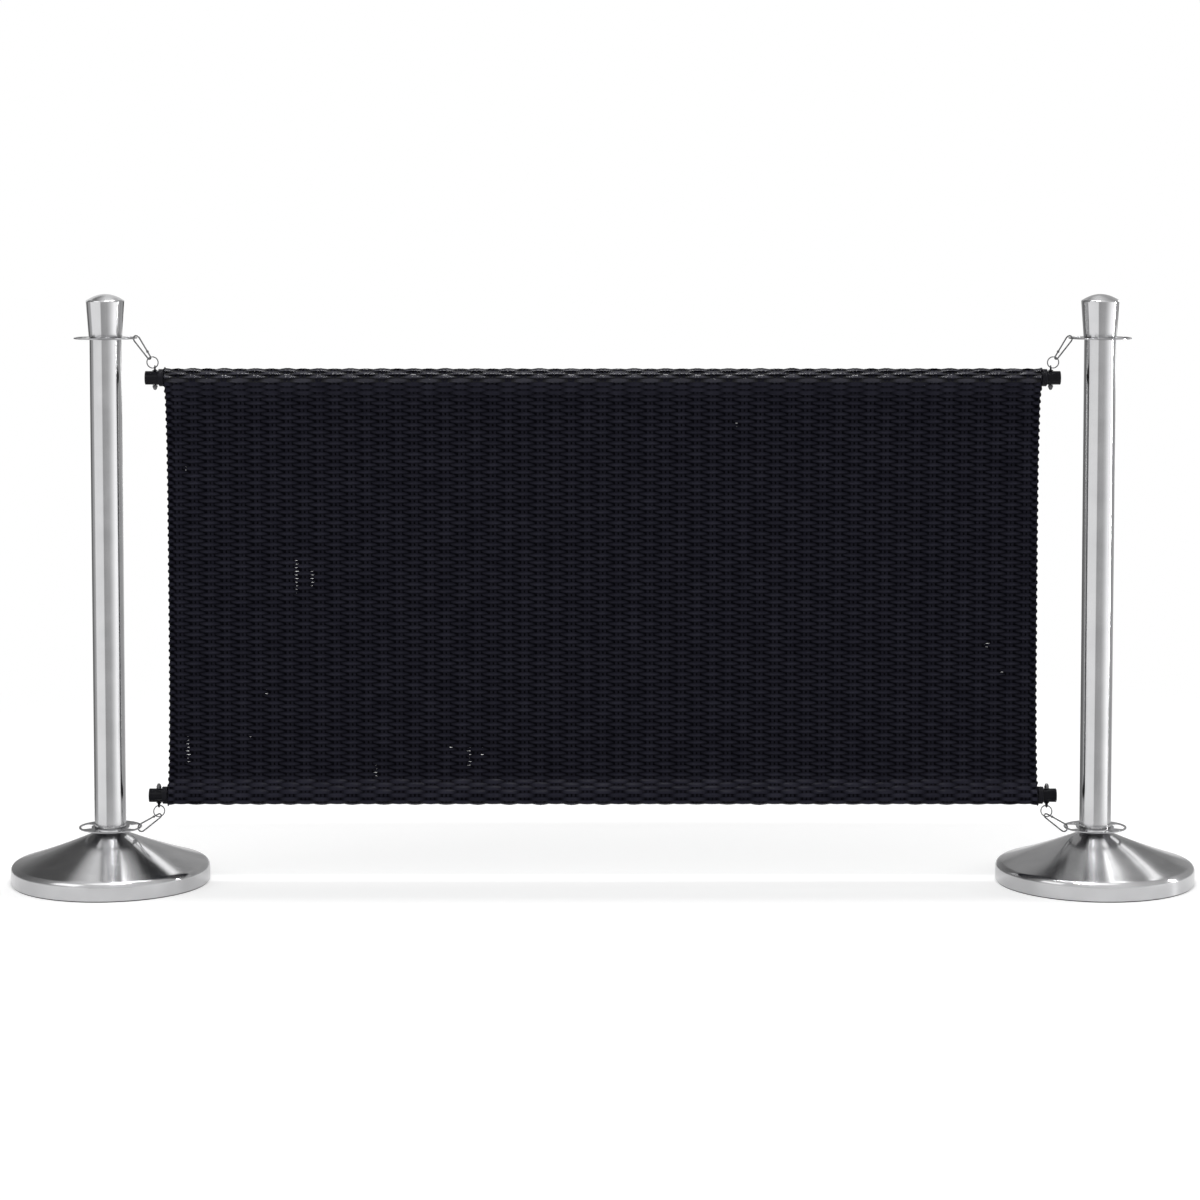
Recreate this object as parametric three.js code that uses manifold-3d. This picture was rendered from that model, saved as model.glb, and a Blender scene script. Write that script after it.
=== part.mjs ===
// A cafe barrier: two weighted posts and a woven screen that hangs between them on snap hooks.
// Millimetres, +Z up, +X along the barrier, and the front faces -Y.
// The origin is on the floor, midway between the two posts.
// The left half is drawn, and the right half is its mirror image.
import * as THREE from "three";
import { mergeVertices } from "three/addons/utils/BufferGeometryUtils.js";
import Module from "manifold-3d";

const deg = Math.PI / 180;

// Fits: the gap between pieces that meet, and how far a cutting body runs past what it cuts.
const clear = 0.3;
const overrun = 1;

// Posts
const tube_diameter = 50.8;
const tube_wall = 1.2;
const plug_height = 24;

// Slotted plates that the hooks are clipped to
const lower_plate_height = 88.8;
const upper_plate_height = 881.5;
const plate_diameter = 101;
const plate_thickness = 2;
const strip_width = 3.5;
const slot_width = 16.5;
const slot_corner = 3;
const slot_half_angle = 30 * deg;
const slot_count = 4;

// Base
const base_diameter = 320;
const rim_height = 22.5;
const rim_lift = 1.5;
const shoulder_radius = 10;
const cover_thickness = 1.2;
const cover_top_diameter = 44;
const cover_dip = 2;
const floor_ring_height = 4;
const floor_ring_width = 70;
const weight_margin = 8;
const weight_thickness = 15;
const hub_diameter = 40;
const hub_foot_diameter = 80;
const collar_diameter = 38;
const collar_height = 5.2;
const bolt_diameter = 12;
const bolt_head_width = 19;
const bolt_head_height = 7.5;
const bolt_engagement = 18;
const bolt_recess_gap = 2;

// Top cap
const cap_height = 69.2;
const cap_foot_diameter = 53;
const cap_brow_diameter = 61.4;
const cap_dome_height = 12;
const cap_edge_radius = 3;
const cap_wall = 1.5;
const cap_boss_diameter = 18;
const cap_bore_depth = 22;
const stud_diameter = 10;
const stud_engagement = 16;

// Screen: a woven sheet with a sleeve round each of its two rods
const rod_length = 1468;
const rod_diameter = 22;
const rod_wall = 1.6;
const end_cap_flange = 1.5;
const spigot_to_eye = 2.2;
const end_cap_rounding = 0.8;
const sleeve_thickness = 4.2;
const sleeve_to_washer = 1.5;
const sheet_inset = 9;
const sheet_waist = 7;
const sheet_thickness = 4.4;

// Eye bolts through the rods, with a washer and a cap nut
const eye_from_rod_end = 15.5;
const eye_hole = 5;
const eye_wire = 2.3;
const eye_standoff = 4.6;
const eye_shank = 3.6;
const eye_turn = 10 * deg;
const eye_shoulder_diameter = 6.4;
const eye_shoulder_height = 1;
const eye_end_gap = 0.3;
const washer_diameter = 8;
const washer_thickness = 0.8;
const nut_width = 7;
const nut_height = 3.2;
const nut_dome_height = 4;
const nut_bore_depth = 5;

// Rings
const ring_diameter = 20.1;
const ring_wire = 1.9;

// Snap hooks: a wire loop, narrow at the ring and wide at the plate, with a sprung gate in one leg
const hook_length = 46.4;
const hook_wire = 2.3;
const hook_narrow_width = 9;
const hook_wide_width = 15;
const gate_start = 9;
const nose_length = 4.8;
const knuckle_radius = 1.8;
const knuckle_height = 2.6;
const tongue_thickness = 0.8;
const tongue_radius = 1.3;
const pin_diameter = 1;

// How the rings and hooks lie. The top ones are taut. The bottom ones hang slack: the ring hangs
// straight down, and the hook leans from it to the plate with its upper leg on the plate's edge.
const top_ring_turn = 24 * deg;
const top_hook_turn = -34 * deg;
const top_hook_slope = 56 * deg;
const top_hook_seat = 3.5;
const bottom_ring_turn = -23 * deg;
const bottom_hook_turn = 22 * deg;
const bottom_hook_inward = 2.9;
const bottom_hook_behind = -0.7;
const bottom_hook_rise = 3.3;
const bottom_hook_sag = 2.4;
const bottom_hook_seat = 4.16;

// Steps round the turned and bent shapes
const wide_sides = 32;
const round_sides = 24;
const small_sides = 10;
const wire_sides = 6;
const hex_sides = 6;
const ring_steps = 24;
const eye_steps = 14;
const edge_steps = 10;
const shoulder_steps = 3;
const cone_steps = 4;
const dome_steps = 5;
const slot_arc_steps = 4;
const slot_corner_steps = 2;
const narrow_bow_steps = 8;
const wide_bow_steps = 10;

// Posts: places worked out from the sizes above, from the foot upwards
const base_radius = base_diameter / 2;
const weight_radius = base_radius - weight_margin;
const weight_bottom = floor_ring_height + clear;
const lower_plate_top = lower_plate_height + plate_thickness / 2;
const lower_plate_under = lower_plate_height - plate_thickness / 2;
const cover_top_height = lower_plate_under - 2 * clear - collar_height;
const upper_plate_top = upper_plate_height + plate_thickness / 2;
const upper_plate_under = upper_plate_height - plate_thickness / 2;
const post_height = upper_plate_top + clear + cap_height;
const tube_inner_radius = tube_diameter / 2 - tube_wall;
const slot_outer_radius = plate_diameter / 2 - strip_width;
const strip_radius = slot_outer_radius + strip_width / 2;

// Screen
const rod_radius = rod_diameter / 2;
const eye_x = eye_from_rod_end - rod_length / 2;
const end_cap_spigot = eye_from_rod_end - eye_shank / 2 - end_cap_flange - spigot_to_eye;
const sleeve_diameter = rod_diameter + 2 * (clear + sleeve_thickness);
const sleeve_end = -eye_x - washer_diameter / 2 - sleeve_to_washer;
const sheet_width = 2 * (sleeve_end - sheet_inset);
const nut_reach = rod_radius + 2 * clear + washer_thickness;

// A snap hook's own line: bows of two sizes at the ends of two straight legs
const hook_narrow_radius = (hook_narrow_width - hook_wire) / 2;
const hook_wide_radius = (hook_wide_width - hook_wire) / 2;
const hook_line_length = hook_length - hook_wire;
const hook_bow_gap = hook_line_length - hook_narrow_radius - hook_wide_radius;
const leg_angle = Math.asin((hook_wide_radius - hook_narrow_radius) / hook_bow_gap);
const gate_length = hook_bow_gap * Math.cos(leg_angle) - gate_start - nose_length;

// Chains of eye, ring and hook: their lengths set how far the posts and plates are from the rods
const eye_ring_radius = (eye_hole + eye_wire) / 2;
const eye_reach = rod_radius + eye_standoff + eye_ring_radius;
const ring_radius = (ring_diameter - ring_wire) / 2;
const wire_gap = clear + (ring_wire + eye_wire) / 2;
const hook_gap = clear + (ring_wire + hook_wire) / 2;
const ring_reach = 2 * ring_radius - wire_gap;
const top_chain = ring_reach - hook_gap + hook_line_length - top_hook_seat;
const chain_run = top_chain * Math.cos(top_hook_slope);
const post_x = eye_x - chain_run - strip_radius;
const top_rod_height = upper_plate_height - top_chain * Math.sin(top_hook_slope) - eye_reach;
const bottom_hook_run = Math.hypot(chain_run + bottom_hook_inward, bottom_hook_behind);
const bottom_hook_drop = Math.sqrt((hook_line_length - bottom_hook_seat) ** 2 - bottom_hook_run ** 2);
const bottom_ring_foot = lower_plate_height - bottom_hook_sag + bottom_hook_drop - bottom_hook_rise;
const bottom_rod_height = bottom_ring_foot + ring_reach + eye_reach;

const wasm = await Module();
wasm.setup();

// A closed geometry as a solid, turned the right way out.
function solid(geometry) {
  const bare = geometry.clone();
  bare.deleteAttribute("normal");
  bare.deleteAttribute("uv");
  const merged = mergeVertices(bare);
  const make = (triVerts) => new wasm.Manifold(new wasm.Mesh({
    numProp: 3,
    vertProperties: new Float32Array(merged.attributes.position.array),
    triVerts,
  }));
  const faces = new Uint32Array(merged.index.array);
  const made = make(faces);
  return made.volume() < 0 ? make(faces.reverse()) : made;
}

// A solid as a geometry that three.js can draw.
function geometryOf(shape) {
  const mesh = shape.getMesh();
  const geometry = new THREE.BufferGeometry();
  geometry.setAttribute("position", new THREE.BufferAttribute(mesh.vertProperties, mesh.numProp));
  geometry.setIndex(new THREE.BufferAttribute(mesh.triVerts, 1));
  geometry.computeVertexNormals();
  return geometry;
}

function named(name, shape, material) {
  const mesh = new THREE.Mesh(geometryOf(shape), material);
  mesh.name = name;
  return mesh;
}

// A profile of [radius, height] pairs turned about Z.
function turned(profile, sides) {
  const points = profile.map(([radius, height]) => new THREE.Vector2(radius, height));
  const first = points[0];
  const last = points[points.length - 1];
  if (first.x > 0 || last.x > 0) points.push(first.clone());
  return solid(new THREE.LatheGeometry(points, sides).rotateX(Math.PI / 2));
}

// A plain cylinder along Z from low to high.
function rod(radius, low, high, sides = small_sides) {
  const geometry = new THREE.CylinderGeometry(radius, radius, high - low, sides);
  return solid(geometry.rotateX(Math.PI / 2).translate(0, 0, (low + high) / 2));
}

// A plain cylinder along X from low to high.
function bar(radius, low, high, sides) {
  const geometry = new THREE.CylinderGeometry(radius, radius, high - low, sides);
  return solid(geometry.rotateZ(Math.PI / 2).translate((low + high) / 2, 0, 0));
}

function tubeAbout(outer, inner, low, high, sides) {
  return turned([[inner, low], [outer, low], [outer, high], [inner, high]], sides);
}

const satin_steel = new THREE.MeshStandardMaterial({ color: 0xb9b9bb, roughness: 0.28, metalness: 1 });
const bright_steel = new THREE.MeshStandardMaterial({ color: 0xd2d2d4, roughness: 0.12, metalness: 1 });
const plain_steel = new THREE.MeshStandardMaterial({ color: 0x9a9a9e, roughness: 0.4, metalness: 1 });
const cast_iron = new THREE.MeshStandardMaterial({ color: 0x3a3a3c, roughness: 0.8, metalness: 0.4 });
const black_rubber = new THREE.MeshStandardMaterial({ color: 0x161618, roughness: 0.85, metalness: 0 });
const black_paint = new THREE.MeshStandardMaterial({ color: 0x121216, roughness: 0.45, metalness: 0.1 });
const black_weave = new THREE.MeshStandardMaterial({ color: 0x14141c, roughness: 0.42, metalness: 0 });

// The outer line of the base cover, from the foot of its rim to its flat top.
function coverLine() {
  const top_radius = cover_top_diameter / 2;
  const shoulder_x = base_radius - shoulder_radius;
  const cone_slope = Math.atan2(cover_top_height - rim_height, shoulder_x - top_radius);
  const line = [[base_radius, rim_lift]];
  for (let i = 0; i <= shoulder_steps; i++) {
    const angle = (Math.PI / 2 - cone_slope) * i / shoulder_steps;
    line.push([
      shoulder_x + shoulder_radius * Math.cos(angle),
      rim_height + shoulder_radius * Math.sin(angle),
    ]);
  }
  const [cone_x, cone_z] = line[line.length - 1];
  for (let i = 1; i <= cone_steps; i++) {
    const share = i / cone_steps;
    const dip = 4 * cover_dip * share * (1 - share);
    line.push([
      cone_x + (top_radius - cone_x) * share,
      cone_z + (cover_top_height - cone_z) * share - dip,
    ]);
  }
  return line;
}

// The same line moved inwards by a wall, square to each stretch.
function inset(line, wall) {
  return line.map(([x, z], i) => {
    const [ax, az] = line[Math.max(i - 1, 0)];
    const [bx, bz] = line[Math.min(i + 1, line.length - 1)];
    const length = Math.hypot(bx - ax, bz - az);
    return [x - wall * (bz - az) / length, z + wall * (bx - ax) / length];
  });
}

function baseCover() {
  const outer = coverLine();
  const hole = bolt_diameter / 2 + clear;
  const inner = inset(outer, cover_thickness).slice(0, -1);
  inner[0][1] = rim_lift;
  const under_top = cover_top_height - cover_thickness;
  return turned([
    ...outer,
    [hole, cover_top_height],
    [hole, under_top],
    [cover_top_diameter / 2, under_top],
    ...inner.reverse(),
  ], wide_sides);
}

function floorRing() {
  const outer = base_radius - cover_thickness - clear;
  return tubeAbout(outer, outer - floor_ring_width, 0, floor_ring_height, wide_sides);
}

function baseWeight() {
  const bore = bolt_diameter / 2 + clear;
  const recess = bolt_head_width / 2 + bolt_recess_gap;
  const recess_top = weight_bottom + bolt_head_height;
  const hub_top = cover_top_height - cover_thickness - clear;
  return turned([
    [bore, recess_top],
    [recess, recess_top],
    [recess, weight_bottom],
    [weight_radius, weight_bottom],
    [weight_radius, weight_bottom + weight_thickness],
    [hub_foot_diameter / 2, weight_bottom + weight_thickness],
    [hub_diameter / 2, weight_bottom + 2 * weight_thickness],
    [hub_diameter / 2, hub_top],
    [bore, hub_top],
  ], round_sides);
}

function baseBolt() {
  const head_top = weight_bottom + bolt_head_height - clear;
  const head_radius = bolt_head_width / Math.sqrt(3);
  const head = rod(head_radius, weight_bottom, head_top, hex_sides);
  const shank = rod(bolt_diameter / 2, head_top - clear, lower_plate_top + clear + bolt_engagement);
  return head.add(shank);
}

function neckCollar() {
  const low = cover_top_height + clear;
  const high = lower_plate_under - clear;
  return tubeAbout(collar_diameter / 2, bolt_diameter / 2 + clear, low, high, round_sides);
}

// The numbers from 0 to 1 in a count of even steps.
function shares(steps) {
  return [...Array(steps + 1).keys()].map((i) => i / steps);
}

function polar(radius, angle) {
  return new THREE.Vector2(radius * Math.cos(angle), radius * Math.sin(angle));
}

// Points on an arc about a centre, from one angle to another, both ends included.
function arcPoints(centre, radius, from, to, steps) {
  return shares(steps).map((share) => polar(radius, from + (to - from) * share).add(centre));
}

// One kidney slot about the plate's centre, middled on the X axis, with rounded corners.
function slotOutline() {
  const inner = slot_outer_radius - slot_width;
  const outer_line = slot_outer_radius - slot_corner;
  const inner_line = inner + slot_corner;
  const outer_turn = slot_half_angle - Math.asin(slot_corner / outer_line);
  const inner_turn = slot_half_angle - Math.asin(slot_corner / inner_line);
  const side = slot_half_angle + Math.PI / 2;
  const centre = new THREE.Vector2();
  const corner = (line, turn, from, to) => (
    arcPoints(polar(line, turn), slot_corner, from, to, slot_corner_steps)
  );
  return [
    ...arcPoints(centre, slot_outer_radius, -outer_turn, outer_turn, slot_arc_steps).slice(1, -1),
    ...corner(outer_line, outer_turn, outer_turn, side),
    ...corner(inner_line, inner_turn, side, inner_turn + Math.PI),
    ...arcPoints(centre, inner, inner_turn, -inner_turn, slot_arc_steps).slice(1, -1),
    ...corner(inner_line, -inner_turn, Math.PI - inner_turn, 2 * Math.PI - side),
    ...corner(outer_line, -outer_turn, -side, -outer_turn),
  ];
}

function slottedPlate(height, hole_radius) {
  const shape = new THREE.Shape().absarc(0, 0, plate_diameter / 2, 0, 2 * Math.PI);
  shape.holes.push(new THREE.Path().absarc(0, 0, hole_radius, 0, 2 * Math.PI, true));
  const plate = new THREE.ExtrudeGeometry(shape, {
    depth: plate_thickness,
    bevelEnabled: false,
    curveSegments: wide_sides / 2,
  });
  let made = solid(plate.translate(0, 0, height - plate_thickness / 2));
  const cutter = solid(new THREE.ExtrudeGeometry(new THREE.Shape(slotOutline()), {
    depth: plate_thickness + 2 * overrun,
    bevelEnabled: false,
  }).translate(0, 0, height - plate_thickness / 2 - overrun));
  for (let i = 0; i < slot_count; i++) {
    made = made.subtract(cutter.rotate([0, 0, 2 * Math.PI * i / slot_count / deg]));
  }
  return made;
}

function postTube() {
  const low = lower_plate_top + clear;
  return tubeAbout(tube_diameter / 2, tube_inner_radius, low, upper_plate_under - clear, round_sides);
}

function tubePlug(bore_diameter, low) {
  const outer = tube_inner_radius - clear;
  return tubeAbout(outer, bore_diameter / 2 + clear, low, low + plug_height, round_sides);
}

function capStud() {
  const low = upper_plate_under - clear - stud_engagement;
  return rod(stud_diameter / 2, low, upper_plate_top + clear + stud_engagement);
}

// A hollow cap, open underneath, with a boss down its middle that screws onto the stud.
function topCap() {
  const foot = upper_plate_top + clear;
  const foot_radius = cap_foot_diameter / 2;
  const brow_radius = cap_brow_diameter / 2;
  const brow = post_height - cap_dome_height;
  const edge_x = brow_radius - cap_edge_radius;
  const dome_rise = cap_dome_height - cap_edge_radius;
  const dome = shares(dome_steps).map((share) => [
    edge_x * (1 - share),
    brow + cap_edge_radius + dome_rise * (1 - (1 - share) ** 2),
  ]);
  const shell = turned([
    [0, post_height - cap_wall],
    [edge_x - cap_wall, brow],
    [foot_radius - cap_wall, foot],
    [foot_radius, foot],
    [brow_radius, brow],
    [brow_radius - cap_edge_radius * (1 - Math.SQRT1_2), brow + cap_edge_radius * Math.SQRT1_2],
    ...dome,
  ], round_sides);
  return shell
    .add(rod(cap_boss_diameter / 2, foot, post_height - cap_wall, round_sides / 2))
    .subtract(rod(stud_diameter / 2 + clear, foot - overrun, foot + cap_bore_depth));
}

function screenRod() {
  const half = rod_length / 2 - end_cap_flange - clear;
  const hole = eye_shank / 2 + clear;
  const drill = rod(hole, -rod_radius - overrun, rod_radius + overrun);
  return bar(rod_radius, -half, half, round_sides)
    .subtract(bar(rod_radius - rod_wall, -half - overrun, half + overrun, round_sides))
    .subtract(drill.translate([eye_x, 0, 0]))
    .subtract(drill.translate([-eye_x, 0, 0]));
}

// A plug for the left end of a rod: a round flange and a spigot inside the rod.
function rodEndCap() {
  const end = rod_length / 2;
  const spigot = rod_radius - rod_wall - clear;
  const profile = [
    [0, end],
    [rod_radius - end_cap_rounding, end],
    [rod_radius, end - end_cap_rounding],
    [rod_radius, end - end_cap_flange],
    [spigot, end - end_cap_flange],
    [spigot, end - end_cap_flange - end_cap_spigot],
    [0, end - end_cap_flange - end_cap_spigot],
  ];
  return turned(profile, small_sides * 2).rotate([0, -90, 0]);
}

// The front outline of the sheet: as wide as its sleeves need at the rods, drawn in between them.
function sheetOutline() {
  const middle = (top_rod_height + bottom_rod_height) / 2;
  const half_height = (top_rod_height - bottom_rod_height) / 2;
  const side = shares(edge_steps).map((share) => 2 * share - 1).map((level) => {
    const drawn_in = sheet_waist * (1 - level ** 4);
    return new THREE.Vector2(sheet_width / 2 - drawn_in, middle + half_height * level);
  });
  return [...side, ...side.map(({ x, y }) => new THREE.Vector2(-x, y)).reverse()];
}

function wovenPanel() {
  const sheet = new THREE.ExtrudeGeometry(new THREE.Shape(sheetOutline()), {
    depth: sheet_thickness,
    bevelEnabled: false,
  });
  sheet.rotateX(Math.PI / 2).translate(0, sheet_thickness / 2, 0);
  const sleeve = bar(sleeve_diameter / 2, -sleeve_end, sleeve_end, round_sides);
  const bore = bar(rod_radius + clear, -sleeve_end - overrun, sleeve_end + overrun, round_sides);
  return [top_rod_height, bottom_rod_height].reduce(
    (made, height) => made.add(sleeve.translate([0, 0, height])).subtract(bore.translate([0, 0, height])),
    solid(sheet),
  );
}

// The eye bolt, about the middle of its rod, with its eye above it and facing along X.
function eyeBolt() {
  const eye_centre = rod_radius + eye_standoff;
  const tip = eye_end_gap - nut_reach - nut_bore_depth;
  const eye = new THREE.TorusGeometry(eye_ring_radius, eye_wire / 2, wire_sides, eye_steps);
  const shoulder_low = rod_radius + clear;
  return solid(eye.rotateY(Math.PI / 2).translate(0, 0, eye_centre))
    .add(rod(eye_shank / 2, tip, eye_centre - eye_ring_radius))
    .add(rod(eye_shoulder_diameter / 2, shoulder_low, shoulder_low + eye_shoulder_height));
}

function rodWasher() {
  const high = -(rod_radius + clear);
  const bore = eye_shank / 2 + clear;
  return tubeAbout(washer_diameter / 2, bore, high - washer_thickness, high, small_sides);
}

function capNut() {
  const high = -nut_reach;
  const waist = high - nut_height;
  const dome_radius = nut_width / 2 - clear;
  const hex = rod(nut_width / Math.sqrt(3), waist, high, hex_sides);
  const dome = turned([
    [0, waist + overrun],
    [dome_radius, waist + overrun],
    [dome_radius, waist],
    [dome_radius * Math.cos(Math.PI / 6), waist - nut_dome_height * Math.sin(Math.PI / 6)],
    [dome_radius * Math.cos(Math.PI / 3), waist - nut_dome_height * Math.sin(Math.PI / 3)],
    [0, waist - nut_dome_height],
  ], small_sides);
  const bore = rod(eye_shank / 2 + clear, high - nut_bore_depth, high + overrun);
  return hex.add(dome).subtract(bore);
}

// A snap hook lies flat in its own plane, with x from the narrow end to the wide end.
function bowPoint(centre, radius, angle) {
  return new THREE.Vector3(centre + radius * Math.cos(angle), radius * Math.sin(angle), 0);
}

// A point of the gate's leg, along it from the narrow bow.
function legPoint(along) {
  const start = bowPoint(hook_narrow_radius, hook_narrow_radius, Math.PI / 2 + leg_angle);
  return start.add(new THREE.Vector3(Math.cos(leg_angle), Math.sin(leg_angle), 0).multiplyScalar(along));
}

// The body's wire runs from the gate's pivot round the narrow bow, down the plain leg,
// round the wide bow and back to the nose that the gate shuts against.
class HookLine extends THREE.Curve {
  constructor() {
    super();
    const side = Math.PI / 2 + leg_angle;
    this.points = [legPoint(gate_start - knuckle_radius - clear)];
    for (let i = 0; i <= narrow_bow_steps; i++) {
      const angle = side + (2 * Math.PI - 2 * side) * i / narrow_bow_steps;
      this.points.push(bowPoint(hook_narrow_radius, hook_narrow_radius, angle));
    }
    for (let i = 0; i <= wide_bow_steps; i++) {
      const angle = -side + 2 * side * i / wide_bow_steps;
      this.points.push(bowPoint(hook_line_length - hook_wide_radius, hook_wide_radius, angle));
    }
    this.points.push(legPoint(gate_start + gate_length));
  }

  getPoint(t, target = new THREE.Vector3()) {
    const place = t * (this.points.length - 1);
    const i = Math.min(Math.floor(place), this.points.length - 2);
    return target.lerpVectors(this.points[i], this.points[i + 1], place - i);
  }

  // One step for each point, so the steps are close in the bows and long in the legs.
  getUtoTmapping(u) {
    return u;
  }
}

function wireAlong(curve, steps, diameter) {
  const section = new THREE.Shape();
  const half_step = Math.PI / wire_sides;
  const centre = new THREE.Vector2();
  section.setFromPoints(
    arcPoints(centre, diameter / 2, half_step, 2 * Math.PI + half_step, wire_sides).slice(0, -1),
  );
  return solid(new THREE.ExtrudeGeometry(section, { steps, bevelEnabled: false, extrudePath: curve }));
}

// A block or cylinder on the gate's leg, in the leg's own frame, moved to the hook's frame.
function onLeg(shape, along) {
  const at = legPoint(along);
  return shape.rotate([0, 0, leg_angle / deg]).translate([at.x, at.y, 0]);
}

function block(low_x, high_x, width, thickness) {
  const geometry = new THREE.BoxGeometry(high_x - low_x, width, thickness);
  return solid(geometry.translate((low_x + high_x) / 2, 0, 0));
}

function hookBody() {
  const line = new HookLine();
  const wire = wireAlong(line, line.points.length - 1, hook_wire);
  const half = tongue_thickness / 2;
  const root = -knuckle_radius - clear - overrun;
  const tongue = block(root, 0, Math.SQRT2 * tongue_radius, tongue_thickness)
    .add(rod(tongue_radius, -half, half, small_sides))
    .subtract(rod(pin_diameter / 2 + clear, -half - overrun, half + overrun, small_sides));
  return wire.add(onLeg(tongue, gate_start));
}

function hookGate() {
  const half = knuckle_height / 2;
  const slot = tongue_thickness + 2 * clear;
  const slot_end = tongue_radius + clear;
  const gate = bar(hook_wire / 2, 0, gate_length - clear, small_sides)
    .add(rod(knuckle_radius, -half, half, small_sides))
    .subtract(block(-knuckle_radius - overrun, slot_end, 2 * knuckle_radius + overrun, slot))
    .subtract(rod(pin_diameter / 2 + clear, -half - overrun, half + overrun, small_sides));
  return onLeg(gate, gate_start);
}

function gatePin() {
  return onLeg(rod(pin_diameter / 2, -knuckle_height / 2, knuckle_height / 2), gate_start);
}

// Stands a flat piece on a line: its x along the direction, its y turned about that direction
// out of the barrier's plane.
function stand(group, place, direction, turn) {
  const along = direction.clone().normalize();
  const flat = new THREE.Vector3(0, 1, 0).cross(along);
  const across = flat.clone().multiplyScalar(Math.cos(turn))
    .add(along.clone().cross(flat).multiplyScalar(Math.sin(turn)));
  const basis = new THREE.Matrix4().makeBasis(along, across, along.clone().cross(across));
  group.quaternion.setFromRotationMatrix(basis);
  group.position.copy(place);
  return group;
}

function ringAndHook(name, ring_place, ring_direction, ring_turn, hook_place, hook_direction, hook_turn) {
  const torus = new THREE.TorusGeometry(ring_radius, ring_wire / 2, wire_sides, ring_steps);
  const ring = stand(new THREE.Group(), ring_place, ring_direction, ring_turn);
  ring.add(named(name + "_ring", solid(torus), plain_steel));
  const hook = stand(new THREE.Group(), hook_place, hook_direction, hook_turn);
  hook.add(named(name + "_hook_body", hookBody(), plain_steel));
  hook.add(named(name + "_hook_gate", hookGate(), plain_steel));
  hook.add(named(name + "_gate_pin", gatePin(), plain_steel));
  return [ring, hook];
}

// The top ring and hook lie on one straight, taut line from the eye to the plate's outer strip.
function topLinks(side) {
  const eye = new THREE.Vector3(eye_x, 0, top_rod_height + eye_reach);
  const line = new THREE.Vector3(-Math.cos(top_hook_slope), 0, Math.sin(top_hook_slope));
  const at = (along) => eye.clone().addScaledVector(line, along);
  return ringAndHook(
    side + "_top",
    at(ring_radius - wire_gap), line, top_ring_turn,
    at(ring_reach - hook_gap), line, top_hook_turn,
  );
}

function bottomLinks(side) {
  const down = new THREE.Vector3(0, 0, -1);
  const foot = new THREE.Vector3(eye_x, 0, bottom_ring_foot);
  const ring_place = foot.clone().addScaledVector(down, -ring_radius);
  const hook_place = foot.add(new THREE.Vector3(bottom_hook_inward, bottom_hook_behind, bottom_hook_rise));
  const aim = new THREE.Vector3(post_x + strip_radius, 0, lower_plate_height - bottom_hook_sag);
  return ringAndHook(
    side + "_bottom",
    ring_place, down, bottom_ring_turn,
    hook_place, aim.sub(hook_place), bottom_hook_turn,
  );
}

// The eye bolt, washer and nut of one corner. At the bottom the eye points down.
function rodFittings(name, height, turned_over) {
  const fittings = new THREE.Group();
  fittings.add(named(name + "_eye_bolt", eyeBolt(), black_paint));
  fittings.add(named(name + "_rod_washer", rodWasher(), plain_steel));
  fittings.add(named(name + "_cap_nut", capNut(), plain_steel));
  fittings.position.set(eye_x, 0, height);
  fittings.rotation.set(turned_over ? Math.PI : 0, 0, turned_over ? -eye_turn : eye_turn);
  return fittings;
}

function post(side) {
  const pieces = new THREE.Group();
  pieces.position.x = post_x;
  pieces.add(named(side + "_floor_ring", floorRing(), black_rubber));
  pieces.add(named(side + "_base_weight", baseWeight(), cast_iron));
  pieces.add(named(side + "_base_cover", baseCover(), satin_steel));
  pieces.add(named(side + "_base_bolt", baseBolt(), plain_steel));
  pieces.add(named(side + "_neck_collar", neckCollar(), bright_steel));
  const lower_plate = slottedPlate(lower_plate_height, bolt_diameter / 2 + clear);
  pieces.add(named(side + "_lower_plate", lower_plate, bright_steel));
  const foot_plug = tubePlug(bolt_diameter, lower_plate_top + clear);
  pieces.add(named(side + "_tube_foot_plug", foot_plug, plain_steel));
  pieces.add(named(side + "_post_tube", postTube(), satin_steel));
  const head_plug = tubePlug(stud_diameter, upper_plate_under - clear - plug_height);
  pieces.add(named(side + "_tube_head_plug", head_plug, plain_steel));
  const upper_plate = slottedPlate(upper_plate_height, stud_diameter / 2 + clear);
  pieces.add(named(side + "_upper_plate", upper_plate, bright_steel));
  pieces.add(named(side + "_cap_stud", capStud(), plain_steel));
  pieces.add(named(side + "_top_cap", topCap(), bright_steel));
  return pieces;
}

function half(side) {
  const pieces = new THREE.Group();
  pieces.add(post(side));
  pieces.add(...topLinks(side), ...bottomLinks(side));
  pieces.add(rodFittings(side + "_top", top_rod_height, false));
  pieces.add(rodFittings(side + "_bottom", bottom_rod_height, true));
  for (const [level, height] of [["top", top_rod_height], ["bottom", bottom_rod_height]]) {
    const cap = named(side + "_" + level + "_rod_end_cap", rodEndCap(), black_rubber);
    cap.position.z = height;
    pieces.add(cap);
  }
  return pieces;
}

const barrier = new THREE.Group();
const right = half("right");
right.scale.x = -1;
const top_rod = named("top_rod", screenRod(), black_paint);
top_rod.position.z = top_rod_height;
const bottom_rod = named("bottom_rod", screenRod(), black_paint);
bottom_rod.position.z = bottom_rod_height;
barrier.add(half("left"), right, top_rod, bottom_rod, named("woven_panel", wovenPanel(), black_weave));

export default barrier;
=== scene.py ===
import math

import bpy
import numpy as np
from mathutils import Matrix, Vector

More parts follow.
